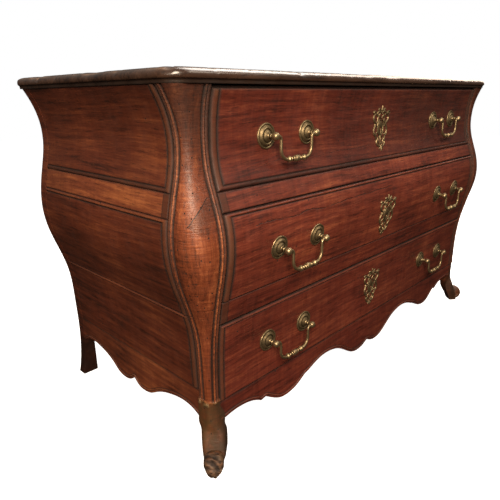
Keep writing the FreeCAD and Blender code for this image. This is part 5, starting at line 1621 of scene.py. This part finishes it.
class CHEST_OT_handles(bpy.types.Operator):
    """Build the brass rosettes, posts and hanging bails"""

    bl_idname = "chest.handles"
    bl_label = "Handles"

    def execute(self, context):
        rosette, post = ([(radius * MM, rise * MM) for radius, rise in table] for table in (ROSETTE, POST))
        nut = [(NUT_RADIUS, 0.0), (NUT_RADIUS, NUT_THICKNESS * NUT_EDGE),
               (NUT_RADIUS * NUT_FACE, NUT_THICKNESS), (0.0, NUT_THICKNESS)]
        eyes = [sign * HANDLE_MIDDLE + end * BAIL_REACH * MM for _, sign in SIDES for end in (-1, 1)]
        path, radii = self.bail_path()
        for drawer in DRAWERS:
            pivot, body = handle_pivot(drawer), f"drawer_{drawer}"
            lean = math.atan(float(slope_of(FRONT, pivot.z, ROSETTE_REACH)))
            facing = Matrix.Rotation(-lean, 4, "X") @ Matrix.Rotation(QUARTER, 4, "X")
            rosettes, posts = [], []
            for eye in eyes:
                seat = Matrix.Translation((eye, pivot.y, pivot.z)) @ facing
                seat = seat @ Matrix.Translation((0, 0, -POST_STANDOFF))
                behind = Matrix.Translation((eye, high(f"drawer_{drawer}_front").y, pivot.z))
                rosettes.append(turned(rosette, ROSETTE_SEGMENTS, seat))
                posts.append(turned(post, POST_SEGMENTS, seat))
                posts.append(turned(nut, NUT_SEGMENTS, behind @ Matrix.Rotation(-QUARTER, 4, "X")))
            node = f"rosettes_{drawer}"
            self.brass(f"{node}_turned", gathered(rosettes), body, node, ROSETTE_DIRT)
            node = f"handle_posts_{drawer}"
            self.brass(f"{node}_turned", gathered(posts), body, node)
            for side, sign in SIDES:
                node = f"bail_{drawer}_{side}"
                hang = Matrix.Translation((sign * HANDLE_MIDDLE, pivot.y, pivot.z))
                self.brass(f"{node}_turned", swept(path, radii, BAIL_SEGMENTS, hang), node, node)
        return {"FINISHED"}

    @staticmethod
    def bail_path():
        """Points of the bail in its hanging plane, and radii. Half is drawn from the middle and mirrored."""
        arm = BAIL_REACH - BAIL_ARM_INSET
        steps = [(along, -BAIL_DROP, radius) for along, radius in BAIL_BEADS]
        for k in range(1, ELBOW_STEPS + 1):
            angle = QUARTER * k / ELBOW_STEPS
            steps.append((arm - BAIL_ELBOW + BAIL_ELBOW * math.sin(angle),
                          -BAIL_DROP + BAIL_ELBOW * (1 - math.cos(angle)),
                          BAIL_ELBOW_RADIUS - ELBOW_THINNING * k))
        for k in range(1, ARM_STEPS):
            rise = -BAIL_DROP + BAIL_ELBOW + (BAIL_DROP - BAIL_ELBOW - BAIL_SHOULDER) * k / ARM_STEPS
            steps.append((arm, rise, BAIL_ARM_RADIUS + ARM_THINNING * (ARM_STEPS - k)))
        for k in range(ARM_STEPS + 1):
            angle = QUARTER * k / ARM_STEPS
            steps.append((arm + BAIL_SHOULDER * (1 - math.cos(angle)), BAIL_SHOULDER * (math.sin(angle) - 1),
                          BAIL_ARM_RADIUS))
        steps.append((BAIL_REACH + BAIL_PIN_DEPTH, 0.0, BAIL_ARM_RADIUS))
        whole = [(-x, z, radius) for x, z, radius in reversed(steps[1:])] + steps
        return [(x * MM, z * MM) for x, z, _ in whole], [radius * MM for _, _, radius in whole]

    @staticmethod
    def brass(name, shape, body, node, dirt=0.0):
        """A piece of brass with tarnish in its hollows, and more of it all over where there is dirt."""
        piece = add_piece(name, *shape, ["aged_brass"], body, [node], crease=BRASS_CREASE)
        layer = piece.data.attributes.new("wax", "FLOAT", "POINT")
        layer.data.foreach_set("value", (hollow_marks(piece.data) + dirt).astype(np.float32))


# Section of a scroll as shares of its half width and height, then its spacing and how it swells along its
# way.
STROKE_SECTION = [
    (-1.0, -0.6), (-1.0, 0.05), (-0.86, 0.50), (-0.5, 0.88), (0.0, 1.0), (0.5, 0.88), (0.86, 0.50),
    (1.0, 0.05), (1.0, -0.6),
]
STROKE_STEP, STROKE_LEAST, STROKE_WIDTH, STROKE_LIFT, STROKE_RISE = 1.3, 10, 0.78, 1.0, 0.62
SWELL_LEAST, SWELL_RUN, SWELL_START, SWELL_POWER = 0.38, 0.92, 0.06, 0.8
# Rows of the shield from the keyhole out to its rim: share of the way, and height in millimetres.
SHIELD_ROWS = [
    (0.0, -0.6), (0.0, 1.0), (0.06, 1.7), (0.3, 2.4), (0.6, 2.2), (0.85, 1.5), (1.0, 0.4), (1.0, -0.6),
]


class CHEST_OT_keyhole_plates(bpy.types.Operator):
    """Build the pierced keyhole plates from scrolls of cast brass"""

    bl_idname = "chest.keyhole_plates"
    bl_label = "Keyhole plates"

    def execute(self, context):
        strokes = [(half, [(sign * x, z) for x, z in spots])
                   for half, spots in PLATE_STROKES for sign in (1, -1)]
        for drawer in DRAWERS:
            height, node = plate_height(drawer), f"keyhole_plate_{drawer}"
            parts = [self.stroke(half, spots, height) for half, spots in strokes + PLATE_MIDDLE_STROKES]
            shape = gathered([self.shield(height), *parts])
            CHEST_OT_handles.brass(f"{node}_scrolls", shape, f"drawer_{drawer}", node, PLATE_DIRT)
        return {"FINISHED"}

    @staticmethod
    def stroke(half, spots, height):
        """One scroll of the plate: a half-round rib that swells along its way, on the drawer front."""
        spots = np.array(spots) * (PLATE_HALF_WIDTH, PLATE_HEIGHT)
        knots = run_lengths(spots)
        where = np.linspace(0, knots[-1], max(STROKE_LEAST, round(knots[-1] / STROKE_STEP)))
        line = np.stack([spline(knots, spots[:, axis])(where) for axis in (0, 1)], -1) * MM
        along = unit(np.gradient(line, axis=0))
        across = np.stack([-along[:, 1], along[:, 0]], -1)
        wave = np.sin(math.pi * np.clip(where / knots[-1] * SWELL_RUN + SWELL_START, 0, 1)) ** SWELL_POWER
        swell = SWELL_LEAST + (1 - SWELL_LEAST) * wave
        rows = []
        for side, rise in STROKE_SECTION:
            plan = line + across * (half * STROKE_WIDTH * MM * swell * side)[:, None]
            base, normals = front_face(plan[:, 0], plan[:, 1] + height)
            lift = rise * (STROKE_LIFT + half * STROKE_RISE * swell if rise > 0 else np.ones(len(where))) * MM
            rows.append(base + normals * lift[:, None])
        rings = np.stack(rows, 1)
        return rings.reshape(-1, 3), ring_faces(*rings.shape[:2])

    @staticmethod
    def shield(height):
        """The domed middle of a plate, with the keyhole through it."""
        inner = np.array(keyhole_outline(SHIELD_KEYHOLE))
        angles = 2 * math.pi * np.arange(len(inner)) / len(inner)
        outer = np.stack([np.sin(angles) * SHIELD_HALF_WIDTH, -np.cos(angles) * SHIELD_HALF_HEIGHT], -1) * MM
        points = []
        for share, rise in SHIELD_ROWS:
            plan = inner + (outer - inner) * share
            base, normals = front_face(plan[:, 0], plan[:, 1] + height)
            points.append(base + normals * rise * MM)
        index = np.arange(len(points) * len(inner)).reshape(len(points), -1)
        ahead, beyond = np.roll(index, -1, axis=1), np.roll(index, -1, axis=0)
        faces = np.stack([index, ahead, np.roll(beyond, -1, axis=1), beyond], -1).reshape(-1, 4)
        return np.concatenate(points), faces


# Stage.

WHITE = (1.0, 1.0, 1.0, 1.0)
# Floor: half its width, how far it lies under the chest, its glow and roughness, and the clouds in its
# colour.
FLOOR_HALF, FLOOR_DROP, FLOOR_GLOW, FLOOR_ROUGHNESS = 9.0, 0.5 * MM, 0.95, 0.9
FLOOR_CLOUD_SCALE, FLOOR_CLOUD, FLOOR_CLOUD_SHADE = 0.8, ((0.3, 0.7), (0.0, 0.05)), (0.8, 0.8, 0.8, 1.0)
# Room: its colours below and above, and the span of rise between them.
ROOM_LOW, ROOM_HIGH, ROOM_RISE = (0.10, 0.065, 0.045, 1.0), (1.0, 0.93, 0.84, 1.0), (-0.25, 0.9)
# Lights: place, size and colour. All of them are aimed at one point.
LIGHT_AIM = Vector((-0.25, -0.25, 0.45))
LIGHTS = {
    "key": ((-1.9, -1.7, 1.75), (1.0, 1.0), (1.0, 0.82, 0.62)),
    "window": ((0.8, -1.9, 2.3), (0.8, 0.8), (1.0, 0.88, 0.72)),
    "ceiling": ((1.0, 0.2, 2.6), (1.6, 1.6), (1.0, 0.95, 0.88)),
    "rim": ((2.7, 0.35, 1.85), (1.4, 2.2), (1.0, 0.80, 0.64)),
}
SENSOR_WIDTH = 36.0


class CHEST_OT_stage(bpy.types.Operator):
    """Set the floor, the lights, the room and the camera"""

    bl_idname = "chest.stage"
    bl_label = "Stage"

    def execute(self, context):
        settings = context.scene.chest_stage
        self.floor(settings)
        self.room(context.scene, settings)
        self.lights(settings)
        self.camera(context.scene, settings)
        context.scene.view_settings.view_transform = "Standard"
        return {"FINISHED"}

    @staticmethod
    def floor(settings):
        half = FLOOR_HALF
        corners = [(-half, -half, 0), (half, -half, 0), (half, half, 0), (-half, half, 0)]
        mesh = bpy.data.meshes.new("studio_floor")
        mesh.from_pydata(corners, [], [range(len(corners))])
        graph, shader = new_material("studio_floor")
        cloud = graph.range(graph.noise(graph.place(), FLOOR_CLOUD_SCALE), *FLOOR_CLOUD)
        shade = graph.mix(cloud, rgba(settings.floor_shade), FLOOR_CLOUD_SHADE)
        graph.feed(shader.inputs["Base Color"], shade)
        shader.inputs["Emission Color"].default_value = WHITE
        shader.inputs["Emission Strength"].default_value = FLOOR_GLOW
        shader.inputs["Roughness"].default_value = FLOOR_ROUGHNESS
        mesh.materials.append(FINISHES["studio_floor"])
        floor = bpy.data.objects.new("studio_floor", mesh)
        bpy.context.scene.collection.objects.link(floor)
        floor.location.z = -FLOOR_DROP
        floor.visible_diffuse = False
        floor.visible_glossy = False

    @staticmethod
    def room(scene, settings):
        """White to the camera, and dim even light on the chest."""
        world = bpy.data.worlds.new("studio_room")
        world.use_nodes = True
        world.node_tree.nodes.clear()
        graph = Graph(world.node_tree)
        seen = graph.add("ShaderNodeLightPath").outputs["Is Camera Ray"]
        white = graph.add("ShaderNodeBackground", {"Color": WHITE, "Strength": 1.0})
        rise = graph.split(graph.add("ShaderNodeTexCoord").outputs["Generated"])[2]
        shade = graph.mix(graph.range(rise, ROOM_RISE), ROOM_LOW, ROOM_HIGH)
        dim = graph.add("ShaderNodeBackground", {"Color": shade, "Strength": settings.ambient})
        both = graph.add("ShaderNodeMixShader", {0: seen, 1: dim.outputs[0], 2: white.outputs[0]})
        graph.add("ShaderNodeOutputWorld", {"Surface": both.outputs[0]})
        scene.world = world

    @staticmethod
    def lights(settings):
        for name, (place, size, colour) in LIGHTS.items():
            light = bpy.data.lights.new(f"{name}_light", "AREA")
            light.shape = "RECTANGLE"
            light.size, light.size_y = size
            light.energy = getattr(settings, f"{name}_power")
            light.color = colour
            lamp = bpy.data.objects.new(f"{name}_light", light)
            lamp.location = place
            lamp.rotation_euler = (LIGHT_AIM - Vector(place)).to_track_quat("-Z", "Y").to_euler()
            bpy.context.scene.collection.objects.link(lamp)

    @staticmethod
    def camera(scene, settings):
        yaw, pitch, roll = settings.camera_yaw, settings.camera_pitch, settings.camera_roll
        ahead = Vector((math.sin(yaw) * math.cos(pitch), math.cos(yaw) * math.cos(pitch), -math.sin(pitch)))
        right = Vector((math.cos(yaw), -math.sin(yaw), 0.0))
        up = right.cross(ahead)
        right, up = right * math.cos(roll) + up * math.sin(roll), up * math.cos(roll) - right * math.sin(roll)
        lens = bpy.data.cameras.new("photo_camera")
        lens.lens = settings.camera_lens
        lens.sensor_width = SENSOR_WIDTH
        camera = bpy.data.objects.new("photo_camera", lens)
        facing = Matrix((right, up, -ahead)).transposed().to_4x4()
        camera.matrix_world = Matrix.Translation(settings.camera_place) @ facing
        scene.collection.objects.link(camera)
        scene.camera = camera


class CHEST_PT_panel(bpy.types.Panel):
    """Sidebar list of the chest's parts"""

    bl_idname = "CHEST_PT_panel"
    bl_label = "Bombe chest"
    bl_space_type = "VIEW_3D"
    bl_region_type = "UI"
    bl_category = "Chest"

    def draw(self, context):
        for operator in OPERATORS:
            self.layout.operator(operator.bl_idname)
        for group in (context.scene.chest_sizes, context.scene.chest_colours, context.scene.chest_stage):
            box = self.layout.box()
            for name in group.bl_rna.properties.keys():
                if name not in ("rna_type", "name"):
                    box.prop(group, name)


OPERATORS = (
    CHEST_OT_finishes, CHEST_OT_slab, CHEST_OT_stiles, CHEST_OT_side_panels, CHEST_OT_front_rails,
    CHEST_OT_back_stiles, CHEST_OT_inside, CHEST_OT_drawer_fronts, CHEST_OT_handles, CHEST_OT_keyhole_plates,
    CHEST_OT_stage,
)
CLASSES = (ChestSizes, ChestColours, ChestStage) + OPERATORS + (CHEST_PT_panel,)


def register():
    for item in CLASSES:
        bpy.utils.register_class(item)
    bpy.types.Scene.chest_sizes = PointerProperty(type=ChestSizes)
    bpy.types.Scene.chest_colours = PointerProperty(type=ChestColours)
    bpy.types.Scene.chest_stage = PointerProperty(type=ChestStage)


def unregister():
    for name in ("chest_sizes", "chest_colours", "chest_stage"):
        delattr(bpy.types.Scene, name)
    for item in reversed(CLASSES):
        bpy.utils.unregister_class(item)


def main():
    register()
    bpy.ops.chest.finishes()
    bpy.ops.chest.slab()
    bpy.ops.chest.stiles()
    bpy.ops.chest.side_panels()
    bpy.ops.chest.front_rails()
    bpy.ops.chest.back_stiles()
    bpy.ops.chest.inside()
    bpy.ops.chest.drawer_fronts()
    bpy.ops.chest.handles()
    bpy.ops.chest.keyhole_plates()
    bpy.ops.chest.stage()


if __name__ == "__main__":
    main()
